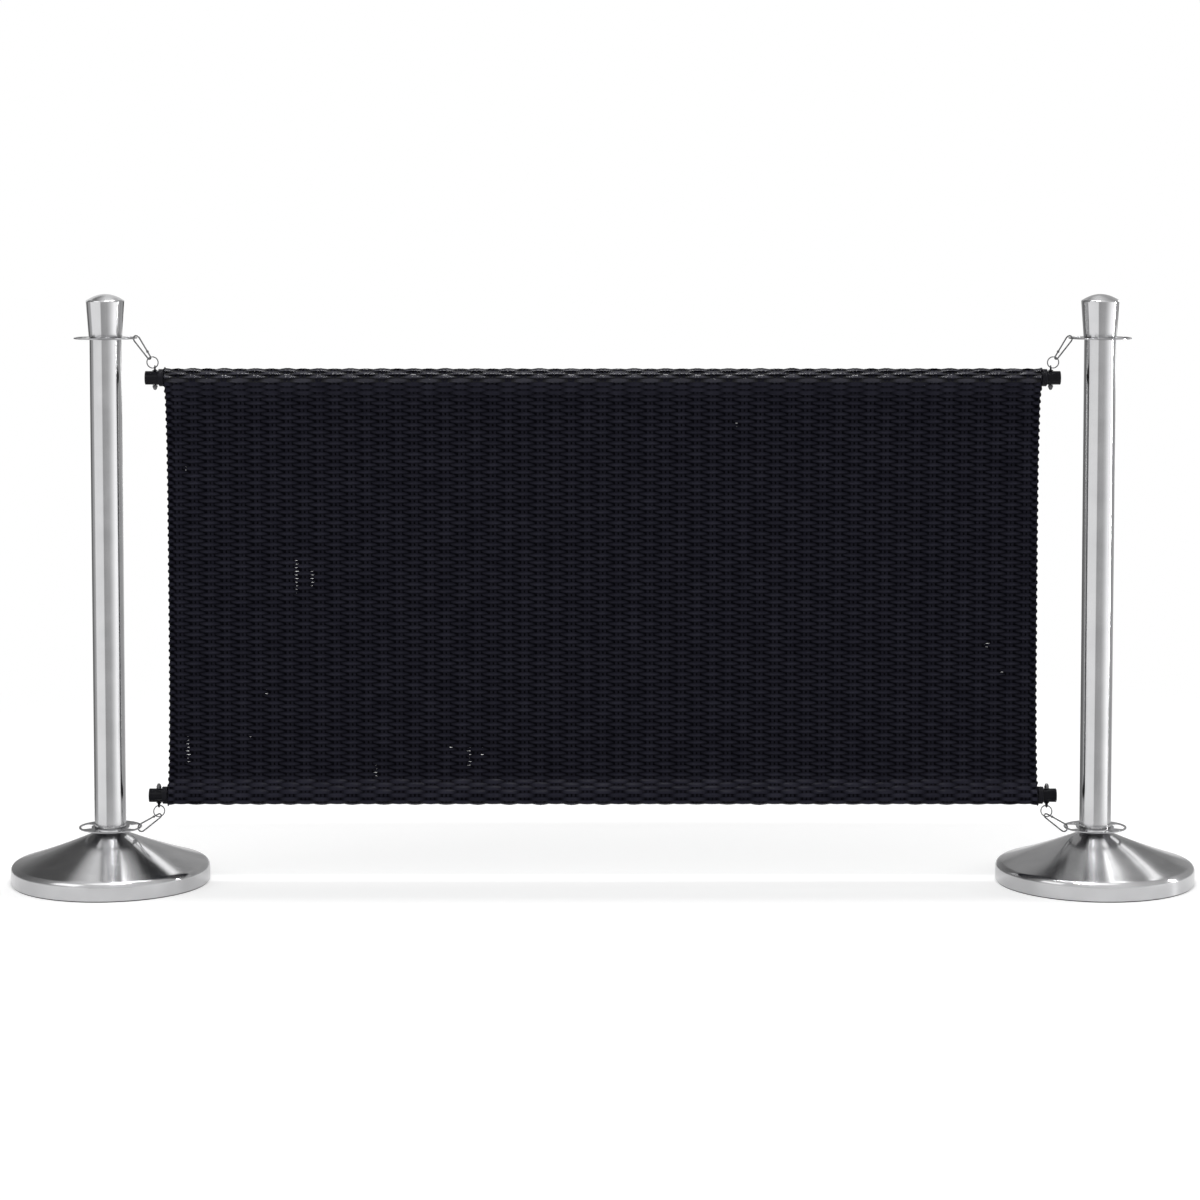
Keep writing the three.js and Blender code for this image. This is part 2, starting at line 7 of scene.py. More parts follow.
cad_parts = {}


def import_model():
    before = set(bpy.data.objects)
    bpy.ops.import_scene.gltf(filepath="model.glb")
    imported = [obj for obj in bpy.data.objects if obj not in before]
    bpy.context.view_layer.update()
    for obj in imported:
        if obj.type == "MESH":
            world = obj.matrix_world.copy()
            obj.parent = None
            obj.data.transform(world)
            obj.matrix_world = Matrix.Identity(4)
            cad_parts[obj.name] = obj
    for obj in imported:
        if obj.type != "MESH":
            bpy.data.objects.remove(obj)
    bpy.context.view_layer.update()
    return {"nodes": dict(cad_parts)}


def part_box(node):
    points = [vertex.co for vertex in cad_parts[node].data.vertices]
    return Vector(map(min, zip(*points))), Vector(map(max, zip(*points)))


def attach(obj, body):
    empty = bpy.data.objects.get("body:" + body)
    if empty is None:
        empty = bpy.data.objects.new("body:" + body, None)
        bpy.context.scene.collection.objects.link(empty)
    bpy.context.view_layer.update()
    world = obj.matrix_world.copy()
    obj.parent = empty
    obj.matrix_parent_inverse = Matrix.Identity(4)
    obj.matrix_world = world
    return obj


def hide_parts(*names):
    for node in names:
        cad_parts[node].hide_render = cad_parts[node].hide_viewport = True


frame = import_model()

# Lengths are in millimetres up to the place where a mesh is made.
MM = 0.001
RNG = np.random.default_rng(7)

# Sizes that the solids have too
PLATE_RADIUS = 50.5
STRIP_WIDTH = 3.5
SLOT_WIDTH = 16.5
SLOT_CORNER = 3.0
SLOT_HALF_ANGLE = math.radians(30)
SLOT_COUNT = 4
PLATE_EDGE = 0.35
TUBE_WALL = 1.2
TUBE_RADIUS = 25.4
TUBE_EDGE = 0.3
TUBE_BAND = 2.0
FLOOR_RING_BORE = 88.5
FLOOR_RING_RADIUS = 158.5
FLOOR_RING_EDGE = 0.6
COLLAR_RADIUS = 19.0
COLLAR_EDGE = 0.9
COVER_RADIUS = 160.0
COVER_WALL = 1.2
COVER_TOP_RADIUS = 22.0
COVER_TOP_EDGE = 0.25
COVER_TOP_ROUNDING = 0.4
RIM_LIFT = 1.5
RIM_EDGE = 0.6
RIM_HEIGHT = 22.5
SHOULDER_RADIUS = 10.0
COVER_DIP = 2.0
COVER_BORE = 6.3
CAP_FOOT_RADIUS = 26.5
CAP_FOOT_EDGE = 0.4
CAP_BROW_RADIUS = 30.7
CAP_DOME_WALL = 4.0
CAP_DOME = 12.0
CAP_EDGE = 3.0
CAP_WALL = 1.5
CAP_BOSS_RADIUS = 9.0
CAP_BORE_RADIUS = 5.3
CAP_BORE_DEPTH = 22.0
ROD_RADIUS = 11.0
ROD_WALL = 1.6
ROD_EDGE = 0.2
ROD_EDGE_LENGTH = 0.3
END_CAP_FLANGE = 1.5
END_CAP_ROUNDING = 0.8
END_CAP_SPIGOT = 10.0
RING_WIRE = 1.9
RING_RADIUS = 9.1
EYE_WIRE = 2.3
EYE_RADIUS = 3.65
WIRE_SLACK = 0.2
EYE_STANDOFF = 4.6
EYE_SHANK = 3.6
EYE_TURN = math.radians(10)
EYE_SHOULDER = 4.4
EYE_HEAD = 1.0
EYE_FLARE = 1.0
# Steps of the shoulder under the eye: how far in from its edge, and how high above its seat
SHOULDER_STEPS = [(0.2, 0), (0, 0.3), (0.3, 1), (1.2, 1.5)]
SHOULDER_HEIGHT = 1.6
SHANK_END = 4.5
WASHER_RADIUS = 4.0
WASHER_THICKNESS = 0.8
WASHER_EDGE = 0.2
NUT_WIDTH = 7.0
NUT_HEIGHT = 3.2
NUT_DOME = 4.0
NUT_CHAMFER = 0.4
DOME_SINK = 1.0
GAP = 0.3
HOOK_LENGTH = 46.4
HOOK_WIRE = 2.3
HOOK_NARROW = 3.35
HOOK_WIDE = 6.35
GATE_START = 9.0
GATE_FOOT = 1.2
NOSE_LENGTH = 4.8
KNUCKLE_RADIUS = 1.8
KNUCKLE_HEIGHT = 2.6
TONGUE_THICKNESS = 0.8
TONGUE_WIDTH = 1.9
KNUCKLE_EDGE = 0.15
PIN_RADIUS = 0.5
PIN_HEAD = 0.15
PIN_STANDS_OUT = 0.1
TOP_SLOPE = math.radians(56)
TOP_RING_TURN = math.radians(24)
TOP_HOOK_TURN = math.radians(-34)
BOTTOM_RING_TURN = math.radians(-23)
BOTTOM_HOOK_TURN = math.radians(22)
BOTTOM_HOOK_SHIFT = (2.9, -0.7, 3.3)
BOTTOM_HOOK_SAG = 2.4


def middle(node):
    low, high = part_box(node)
    return np.array((low + high) / 2) / MM


def reach(node):
    low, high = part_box(node)
    return np.array(low) / MM, np.array(high) / MM


# Materials

EVEN = (1, 1, 1)
# The stretch of a noise's values that its colours and roughness are spread over
NOISE_LOW, NOISE_HIGH = 0.3, 0.7
LINE_BUMP, COAT_BUMP = 0.0002, 0.0005
ROUND_THE_AXIS = 0.25


def nodes_of(name):
    made = bpy.data.materials.new(name)
    made.use_nodes = True
    return made, made.node_tree, made.node_tree.nodes["Principled BSDF"]


def bare(made):
    """The emptied node tree of a material or a world."""
    made.use_nodes = True
    made.node_tree.nodes.clear()
    return made.node_tree


def fill(made, sockets=(), **values):
    """Set a node's properties, then its sockets: each to a value, or to a node or one of its outputs."""
    for key, value in values.items():
        if hasattr(made, key):
            setattr(made, key, value)
        else:
            made.inputs[key].default_value = value
    for socket, source in sockets:
        if isinstance(source, bpy.types.Node):
            source = source.outputs[0]
        if isinstance(source, bpy.types.NodeSocket):
            made.id_data.links.new(source, made.inputs[socket])
        else:
            made.inputs[socket].default_value = source
    return made


def node(tree, kind, sockets=(), **values):
    return fill(tree.nodes.new("ShaderNode" + kind), sockets, **values)


def maths(tree, operation, *values):
    return node(tree, "Math", enumerate(values), operation=operation)


def vector_maths(tree, operation, *values):
    return node(tree, "VectorMath", enumerate(values), operation=operation)


def mix_shaders(tree, share, low, high):
    return node(tree, "MixShader", [("Fac", share), (1, low), (2, high)])


def noise(tree, scale, size, detail, rough=0.5):
    at = node(tree, "TexCoord").outputs["Object"]
    stretched = node(tree, "Mapping", [("Vector", at)], Scale=scale)
    return node(tree, "TexNoise", [("Vector", stretched)], Scale=size, Detail=detail, Roughness=rough)


def spread(tree, source, low, high, start=NOISE_LOW, end=NOISE_HIGH, shape="LINEAR"):
    return node(tree, "MapRange", [("Value", source), ("From Min", start), ("From Max", end),
                                   ("To Min", low), ("To Max", high)], interpolation_type=shape)


def blend_colours(tree, source, low, high):
    ramp = node(tree, "ValToRGB", [("Fac", source)])
    for stop, at, colour in zip(ramp.color_ramp.elements, (NOISE_LOW, NOISE_HIGH), (low, high)):
        stop.position = at
        stop.color = (*colour, 1)
    return ramp


def bump(tree, source, strength, distance):
    return node(tree, "Bump", [("Height", source)], Strength=strength, Distance=distance)


def metal(name, dark, light, rough, lines, line_depth, patch=25.0, stretch=None):
    """Steel with fine lines: lines scales their noise along each axis, and stretch draws the gloss out."""
    made, tree, shader = nodes_of(name)
    cloud = noise(tree, EVEN, patch, 4)
    fine = noise(tree, lines, 1.0, 2, 0.6)
    fill(shader, [
        ("Metallic", 1.0),
        ("Base Color", blend_colours(tree, cloud, dark, light)),
        ("Roughness", spread(tree, cloud, *rough)),
        ("Normal", bump(tree, fine, line_depth, LINE_BUMP)),
    ])
    if stretch is not None:
        tangent = node(tree, "Tangent", direction_type="RADIAL", axis="Z")
        fill(shader, [
            ("Anisotropic", stretch),
            ("Anisotropic Rotation", ROUND_THE_AXIS),
            ("Tangent", tangent),
        ])
    return made


def coated(name, dark, light, rough, grain, depth, specular=0.5):
    made, tree, shader = nodes_of(name)
    cloud, fine = noise(tree, EVEN, 60.0, 4), noise(tree, EVEN, grain, 2)
    fill(shader, [
        ("Specular IOR Level", specular),
        ("Base Color", blend_colours(tree, cloud, dark, light)),
        ("Roughness", spread(tree, cloud, *rough)),
        ("Normal", bump(tree, fine, depth, COAT_BUMP)),
    ])
    return made


TUBE_STEEL = metal("brushed_tube_steel", (0.60, 0.60, 0.61), (0.66, 0.66, 0.67), (0.13, 0.17),
                   (30, 30, 2500), 0.02, stretch=0.8)
SPUN_STEEL = metal("spun_cover_steel", (0.58, 0.58, 0.59), (0.66, 0.66, 0.67), (0.17, 0.21),
                   (40, 40, 1500), 0.02, stretch=0.85)
BRIGHT_STEEL = metal("polished_steel", (0.66, 0.66, 0.67), (0.74, 0.74, 0.75), (0.06, 0.12),
                     (400, 400, 400), 0.02)
PLATE_STEEL = metal("polished_plate_steel", (0.38, 0.38, 0.39), (0.47, 0.47, 0.48), (0.12, 0.2),
                    (300, 300, 300), 0.02)
WIRE_STEEL = metal("plated_wire_steel", (0.13, 0.13, 0.135), (0.21, 0.21, 0.215), (0.2, 0.32),
                   (900, 900, 900), 0.1, 120.0)
CAST_IRON = coated("black_casting", (0.02, 0.02, 0.022), (0.045, 0.045, 0.047), (0.6, 0.8), 700, 0.5, 0.3)
RUBBER = coated("black_rubber_grain", (0.006, 0.006, 0.007), (0.012, 0.012, 0.013), (0.5, 0.7),
                900, 0.3, 0.25)
PAINT = coated("black_powder_coat", (0.004, 0.004, 0.006), (0.008, 0.008, 0.011), (0.2, 0.3),
               1400, 0.12, 0.1)
STRAND_TONES = (0.0168, 0.0165, 0.0262), (0.0272, 0.0268, 0.0402)
# Painted shade: the colour of the strands where they dip back between the warps
STRAND_PAINTED_SHADE = (0.0006, 0.0006, 0.0024, 1)


def strand_material(name, specular, rough):
    """Flat resin strand: its crowns are smoother and paler, and the stretches that dip between warps get a
    painted shade colour.
    """
    made, tree, shader = nodes_of(name)
    gloss_and_painted_shade = node(tree, "Attribute", attribute_name="gloss_and_painted_shade").outputs["Fac"]
    tone = blend_colours(tree, noise(tree, EVEN, 30.0, 3), *STRAND_TONES)
    # Painted light and shade: the attribute blends from the painted shade colour in the dips to the strand's
    # tone on the crowns, and also sets roughness
    mixed = node(tree, "Mix", [(0, gloss_and_painted_shade), (6, STRAND_PAINTED_SHADE), (7, tone)], data_type="RGBA")
    grain = noise(tree, (60, 3000, 3000), 1.0, 2)
    fill(shader, [
        ("Specular IOR Level", specular),
        ("Base Color", mixed.outputs[2]),
        ("Roughness", spread(tree, gloss_and_painted_shade, 0.6, rough, 0.0, 0.5)),
        ("Normal", bump(tree, grain, 0.15, LINE_BUMP)),
    ])
    return made


STRAND = strand_material("flat_resin_strand", 0.04, 0.24)
GLOSSY_STRAND = strand_material("glossy_resin_strand", 0.16, 0.12)
POLISHED_STRAND = strand_material("polished_resin_strand", 0.3, 0.1)


# Meshes


def in_scene(name, data):
    made = bpy.data.objects.new(name, data)
    bpy.context.scene.collection.objects.link(made)
    return made


def set_attribute(mesh, name, values):
    attribute = mesh.attributes.new(name, "FLOAT", "POINT")
    attribute.data.foreach_set("value", values.astype(np.float32).ravel())


def volume_of(points, faces):
    total = 0.0
    for quads in faces:
        for k in range(1, quads.shape[1] - 1):
            a, b, c = points[quads[:, 0]], points[quads[:, k]], points[quads[:, k + 1]]
            total += float((a * np.cross(b, c)).sum())
    return total


def piece(name, parts, body, material, replaced, flat_above=None, gloss_and_painted_shade=None):
    """One object from (points, faces, maps) parts, in millimetres, turned the right way out."""
    points, corners, totals, maps, count = [], [], [], [], 0
    for at, faces, uvs in parts:
        turned_in = volume_of(at, faces) < 0
        for face, uv in zip(faces, uvs):
            if turned_in:
                face, uv = face[:, ::-1], uv[:, ::-1]
            corners.append((face + count).ravel())
            maps.append(uv.reshape(-1, 2))
            totals.append(np.full(len(face), face.shape[1]))
        points.append(at)
        count += len(at)
    points, corners = np.concatenate(points) * MM, np.concatenate(corners)
    maps, totals = np.concatenate(maps), np.concatenate(totals)
    mesh = bpy.data.meshes.new(name)
    mesh.vertices.add(len(points))
    mesh.vertices.foreach_set("co", points.astype(np.float32).ravel())
    mesh.loops.add(len(corners))
    mesh.loops.foreach_set("vertex_index", corners.astype(np.int32))
    mesh.polygons.add(len(totals))
    mesh.polygons.foreach_set("loop_start", (np.cumsum(totals) - totals).astype(np.int32))
    mesh.polygons.foreach_set("loop_total", totals.astype(np.int32))
    mesh.update(calc_edges=True)
    layer = mesh.uv_layers.new(name="OFBake")
    layer.data.foreach_set("uv", np.clip(maps, 0, 1).astype(np.float32).ravel())
    mesh.polygons.foreach_set("use_smooth", np.ones(len(totals), bool))
    if flat_above is not None:
        mesh.set_sharp_from_angle(angle=math.radians(flat_above))
    if gloss_and_painted_shade is not None:
        set_attribute(mesh, "gloss_and_painted_shade", gloss_and_painted_shade)
    mesh.validate()
    mesh.materials.append(material)
    made = in_scene(name, mesh)
    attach(made, body)
    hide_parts(*replaced)
    return made


def skin(node_name, parts, body, material, flat_above=None):
    """The smooth piece that replaces one node."""
    return piece(node_name + "_skin", parts, body, material, [node_name], flat_above)


def woven(name, parts, material, flat_above=None, gloss_and_painted_shade=None):
    """A piece of the screen."""
    return piece(name, parts, "panel", material, ["woven_panel"], flat_above, gloss_and_painted_shade)


def quads_of(i, j, follow, beside, columns):
    """Faces of a grid, from station i to the one that follows and from corner j to the one beside it."""
    this, other = i * columns, follow * columns
    return np.stack([this + j, this + beside, other + beside, other + j], -1)


def maps_of(*corners):
    """The (u, v) pairs of faces, one array pair for each corner."""
    return np.stack([np.stack(corner, -1) for corner in corners], -2)


def lathe(profile, steps):
    """A closed profile of (radius, height) turned about Z."""
    line = list(profile)
    if line[0][0] > 0 or line[-1][0] > 0:
        line.append(line[0])
    line = np.array(line, float)
    rings = len(line)
    angle = 2 * np.pi * np.arange(steps) / steps
    at = np.stack([
        line[:, :1] * np.cos(angle),
        line[:, :1] * np.sin(angle),
        np.repeat(line[:, 1:], steps, 1),
    ], -1)
    length = np.concatenate([[0], np.cumsum(np.linalg.norm(np.diff(line, axis=0), axis=1))])
    v = length / length[-1]
    closed = bool(np.allclose(line[0], line[-1]))
    i, j = np.meshgrid(np.arange(rings - 1), np.arange(steps), indexing="ij")
    i, j = i.ravel(), j.ravel()
    follow = (i + 1) % (rings - 1) if closed else i + 1
    quads = quads_of(i, j, follow, (j + 1) % steps, steps)
    u0, u1, v0, v1 = j / steps, (j + 1) / steps, v[i], v[i + 1]
    uv = maps_of((u0, v0), (u1, v0), (u1, v1), (u0, v1))
    if closed:
        return at[:-1].reshape(-1, 3), [quads], [uv]
    points = at.reshape(-1, 3)
    tip = (rings - 1) * steps
    first, last = i == 0, i == rings - 2
    low = quads[first][:, [1, 2, 3]]
    low[:, 0] = 0
    high = quads[last][:, [0, 1, 2]]
    high[:, 2] = tip
    keep = ~(first | last)
    used = np.concatenate([[0], np.arange(steps, tip), [tip]])
    order = np.zeros(len(points), int)
    order[used] = np.arange(len(used))
    faces = [order[quads[keep]], order[low], order[high]]
    maps = [uv[keep], uv[first][:, [1, 2, 3]], uv[last][:, [0, 1, 2]]]
    return points[used], faces, maps


def placed(part, along, at):
    """A part drawn about Z, with that axis turned to a direction, and moved."""
    points, faces, maps = part
    z = np.array(along, float)
    z /= np.linalg.norm(z)
    across = (0, 1, 0) if abs(z[1]) < 0.9 else (1, 0, 0)
    x = np.array(across, float) - np.dot(across, z) * z
    x /= np.linalg.norm(x)
    y = np.cross(z, x)
    return points @ np.array([x, y, z]) + np.array(at, float), faces, maps


def mirrored(part):
    points, faces, maps = part
    return points * (-1, 1, 1), faces, maps


def tube_grid(points, closed):
    """A sweep: points[station, corner, 3]. Its ends are closed with one face each if it is open."""
    stations, corners = points.shape[:2]
    count = stations if closed else stations - 1
    i, j = np.meshgrid(np.arange(count), np.arange(corners), indexing="ij")
    i, j = i.ravel(), j.ravel()
    quads = quads_of(i, j, (i + 1) % stations, (j + 1) % corners, corners)
    v0, v1, u0, u1 = i / count, (i + 1) / count, j / corners, (j + 1) / corners
    faces, maps = [quads], [maps_of((u0, v0), (u1, v0), (u1, v1), (u0, v1))]
    if not closed:
        first = np.arange(corners)[None, ::-1]
        faces += [first, first[:, ::-1] + (stations - 1) * corners]
        flat = np.stack([np.arange(corners) / corners, np.zeros(corners)], -1)[None]
        maps += [flat, flat]
    return points.reshape(-1, 3), faces, maps


def directions(path, closed):
    if closed:
        ahead = np.roll(path, -1, 0) - np.roll(path, 1, 0)
    else:
        ahead = np.gradient(path, axis=0)
    return ahead / np.linalg.norm(ahead, axis=1, keepdims=True)


def wire(path, diameter, closed=False, sides=12, ends=0):
    """A round wire along a path, with rounded ends of the given number of steps."""
    path = np.array(path, float)
    ahead = directions(path, closed)
    normal = np.zeros_like(path)
    start = np.cross(ahead[0], (0, 0, 1) if abs(ahead[0][2]) < 0.9 else (0, 1, 0))
    normal[0] = start / np.linalg.norm(start)
    for k in range(1, len(path)):
        moved = normal[k - 1] - ahead[k] * np.dot(normal[k - 1], ahead[k])
        normal[k] = moved / np.linalg.norm(moved)
    side = np.cross(ahead, normal)
    size = np.ones(len(path))
    if ends:
        turn = np.linspace(np.pi / 2, 0, ends + 1)[:-1]
        back = path[0] - ahead[0] * (np.sin(turn) * diameter / 2)[:, None]
        front = path[-1] + ahead[-1] * (np.sin(turn[::-1]) * diameter / 2)[:, None]
        path = np.concatenate([back, path, front])
        normal = np.concatenate([np.repeat(normal[:1], ends, 0), normal, np.repeat(normal[-1:], ends, 0)])
        side = np.concatenate([np.repeat(side[:1], ends, 0), side, np.repeat(side[-1:], ends, 0)])
        narrow = np.maximum(np.cos(turn), 0.15)
        size = np.concatenate([narrow, size, narrow[::-1]])
    angle = 2 * np.pi * np.arange(sides) / sides
    ring = np.cos(angle)[None, :, None] * normal[:, None] + np.sin(angle)[None, :, None] * side[:, None]
    return tube_grid(path[:, None] + ring * size[:, None, None] * diameter / 2, closed)


def circle(radius, steps):
    angle = 2 * np.pi * np.arange(steps) / steps
    return np.stack([radius * np.cos(angle), radius * np.sin(angle), 0 * angle], -1)


def arc(centre, radius, start, end, steps):
    angle = np.radians(np.linspace(start, end, steps + 1))
    return [(centre[0] + radius * math.cos(a), centre[1] + radius * math.sin(a)) for a in angle]


# Posts
def cover_profile(_, top):
    shoulder = COVER_RADIUS - SHOULDER_RADIUS
    slope = math.atan2(top - RIM_HEIGHT, shoulder - COVER_TOP_RADIUS)
    outer = [(COVER_RADIUS - RIM_EDGE, RIM_LIFT), (COVER_RADIUS, RIM_LIFT + RIM_EDGE)]
    outer += [(COVER_RADIUS, z) for z in np.linspace(RIM_LIFT + 5 * RIM_EDGE, RIM_HEIGHT, 6)]
    wall_from = len(outer) + 2
    outer += arc((shoulder, RIM_HEIGHT), SHOULDER_RADIUS, 4, 90 - math.degrees(slope), 10)
    cone_x, cone_z = outer[-1]
    for share in np.linspace(0, 1, 33)[1:]:
        dip = 4 * COVER_DIP * share * (1 - share)
        outer.append((cone_x + (COVER_TOP_RADIUS - cone_x) * share, cone_z + (top - cone_z) * share - dip))
    outer[-1] = (COVER_TOP_RADIUS + RIM_EDGE, top - COVER_TOP_EDGE)
    inner = [(r - COVER_WALL / 2, z - COVER_WALL) for r, z in outer[wall_from:-1]]
    under = top - COVER_WALL
    return outer + [
        (COVER_TOP_RADIUS - COVER_TOP_ROUNDING, top), (COVER_BORE, top), (COVER_BORE, under),
        (COVER_TOP_RADIUS, under),
    ] + inner[::-1] + [(COVER_RADIUS - COVER_WALL, RIM_HEIGHT), (COVER_RADIUS - COVER_WALL, RIM_LIFT)]


def slot_outline():
    steps = 10
    outer = PLATE_RADIUS - STRIP_WIDTH
    inner = outer - SLOT_WIDTH
    outer_line, inner_line = outer - SLOT_CORNER, inner + SLOT_CORNER
    outer_turn = SLOT_HALF_ANGLE - math.asin(SLOT_CORNER / outer_line)
    inner_turn = SLOT_HALF_ANGLE - math.asin(SLOT_CORNER / inner_line)
    side = SLOT_HALF_ANGLE + math.pi / 2

    def corner(line, turn, start, end):
        centre = (line * math.cos(turn), line * math.sin(turn))
        return arc(centre, SLOT_CORNER, math.degrees(start), math.degrees(end), 5)

    return (
        arc((0, 0), outer, -math.degrees(outer_turn), math.degrees(outer_turn), steps)[1:-1]
        + corner(outer_line, outer_turn, outer_turn, side)
        + corner(inner_line, inner_turn, side, inner_turn + math.pi)
        + arc((0, 0), inner, math.degrees(inner_turn), -math.degrees(inner_turn), steps)[1:-1]
        + corner(inner_line, -inner_turn, math.pi - inner_turn, 2 * math.pi - side)
        + corner(outer_line, -outer_turn, -side, -outer_turn)
    )


def plate(node_name, body, x, hole):
    """A flat round plate with four slots, filled and bevelled from its outline."""
    name = node_name + "_skin"
    low, high = reach(node_name)
    flat = bpy.data.curves.new(name, "CURVE")
    flat.dimensions = "2D"
    flat.fill_mode = "BOTH"
    flat.extrude = ((high[2] - low[2]) / 2 - PLATE_EDGE) * MM
    flat.bevel_depth = PLATE_EDGE * MM
    flat.bevel_resolution = 2
    flat.offset = -PLATE_EDGE * MM
    loops = [circle(PLATE_RADIUS, 120)[:, :2], circle(hole, 32)[:, :2]]
    slot = slot_outline()
    for turn in 2 * np.pi * np.arange(SLOT_COUNT) / SLOT_COUNT:
        c, s = math.cos(turn), math.sin(turn)
        loops.append([(a * c - b * s, a * s + b * c) for a, b in slot])
    for loop in loops:
        spline = flat.splines.new("POLY")
        spline.points.add(len(loop) - 1)
        for point, (a, b) in zip(spline.points, loop):
            point.co = (a * MM, b * MM, 0, 1)
        spline.use_cyclic_u = True
    drawn = in_scene(name + "_line", flat)
    bpy.context.view_layer.update()
    mesh = bpy.data.meshes.new_from_object(drawn.evaluated_get(bpy.context.evaluated_depsgraph_get()))
    bpy.data.objects.remove(drawn)
    bpy.data.curves.remove(flat)
    mesh.name = name
    mesh.transform(Matrix.Translation((x * MM, 0, (low[2] + high[2]) / 2 * MM)))
    mesh.polygons.foreach_set("use_smooth", np.ones(len(mesh.polygons), bool))
    mesh.set_sharp_from_angle(angle=math.radians(25))
    mesh.materials.clear()
    mesh.materials.append(PLATE_STEEL)
    made = in_scene(name, mesh)
    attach(made, body)
    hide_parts(node_name)


def cap_profile(foot, top):
    brow = top - CAP_DOME
    edge_x = CAP_BROW_RADIUS - CAP_EDGE
    start = foot + CAP_FOOT_EDGE
    outer = [(CAP_FOOT_RADIUS - TUBE_EDGE, foot), (CAP_FOOT_RADIUS, start)]
    outer += [(CAP_FOOT_RADIUS + (CAP_BROW_RADIUS - CAP_FOOT_RADIUS) * s, start + (brow - start) * s)
              for s in np.linspace(0.02, 0.98, 12)]
    outer += arc((edge_x, brow), CAP_EDGE, 0, 78, 8)
    edge_x, edge_z = outer[-1]
    outer += [(edge_x * (1 - s), edge_z + (top - edge_z) * (1 - (1 - s) ** 2))
              for s in np.linspace(0, 1, 17)[1:]]
    return outer[::-1] + [
        (CAP_FOOT_RADIUS - CAP_WALL, foot),
        (CAP_BROW_RADIUS - CAP_EDGE - CAP_WALL, brow),
        (CAP_BOSS_RADIUS, top - CAP_DOME_WALL),
        (CAP_BOSS_RADIUS, foot),
        (CAP_BORE_RADIUS, foot),
        (CAP_BORE_RADIUS, foot + CAP_BORE_DEPTH),
        (0, foot + CAP_BORE_DEPTH),
    ]


def tube_profile(low, high):
    bore, face = TUBE_RADIUS - TUBE_WALL, TUBE_RADIUS - TUBE_EDGE
    wall = [(TUBE_RADIUS, z) for z in np.linspace(low + TUBE_BAND, high - TUBE_BAND, 9)]
    return [(bore, low), (face, low), (TUBE_RADIUS, low + TUBE_EDGE)] + wall + [
        (TUBE_RADIUS, high - TUBE_EDGE), (face, high), (bore, high)]


def rounded(inner, outer, low, high, edge):
    """The profile of a bored disc with small rounded outer edges."""
    corner = edge * 0.3
    return [(inner, low), (outer - edge, low), (outer - corner, low + corner), (outer, low + edge),
            (outer, high - edge), (outer - corner, high - corner), (outer - edge, high), (inner, high)]


def ring_profile(low, high):
    return rounded(FLOOR_RING_BORE, FLOOR_RING_RADIUS, low, high, FLOOR_RING_EDGE)


def collar_profile(low, high):
    return rounded(COVER_BORE, COLLAR_RADIUS, low, high, COLLAR_EDGE)


# Turned pieces: profile, slot, material, steps round, and the angle above which an edge shows as sharp
TURNED = {
    "base_cover": (cover_profile, "satin_steel", SPUN_STEEL, 192, 40),
    "floor_ring": (ring_profile, "black_rubber", RUBBER, 128, 40),
    "neck_collar": (collar_profile, "bright_steel", BRIGHT_STEEL, 96, 50),
    "post_tube": (tube_profile, "satin_steel", TUBE_STEEL, 128, 40),
    "top_cap": (cap_profile, "bright_steel", TUBE_STEEL, 128, 50),
}


def post(side):
    body = side + "_post"
    x = middle(side + "_post_tube")[0]
    for kind, (profile, slot, material, steps, flat_above) in TURNED.items():
        low, high = reach(f"{side}_{kind}")
        part = placed(lathe(profile(low[2], high[2]), steps), (0, 0, 1), (x, 0, 0))
        skin(f"{side}_{kind}", [part], body, material, flat_above)
    for kind, hole in (("lower", COVER_BORE), ("upper", CAP_BORE_RADIUS)):
        plate(f"{side}_{kind}_plate", body, x, hole)


for side in ("left", "right"):
    post(side)


# Rods and their fittings


def hex_prism(width, low, high):
    """A hexagon with chamfered corners, drawn as a sweep along Z."""
    angle = np.pi / 3 * np.arange(6)
    big = width / math.sqrt(3)
    face = big - NUT_CHAMFER
    levels = [(face, low), (big, low + NUT_CHAMFER), (big, high - NUT_CHAMFER), (face, high)]
    points = np.array([[(r * math.cos(a), r * math.sin(a), z) for a in angle] for r, z in levels])
    return tube_grid(points, False)


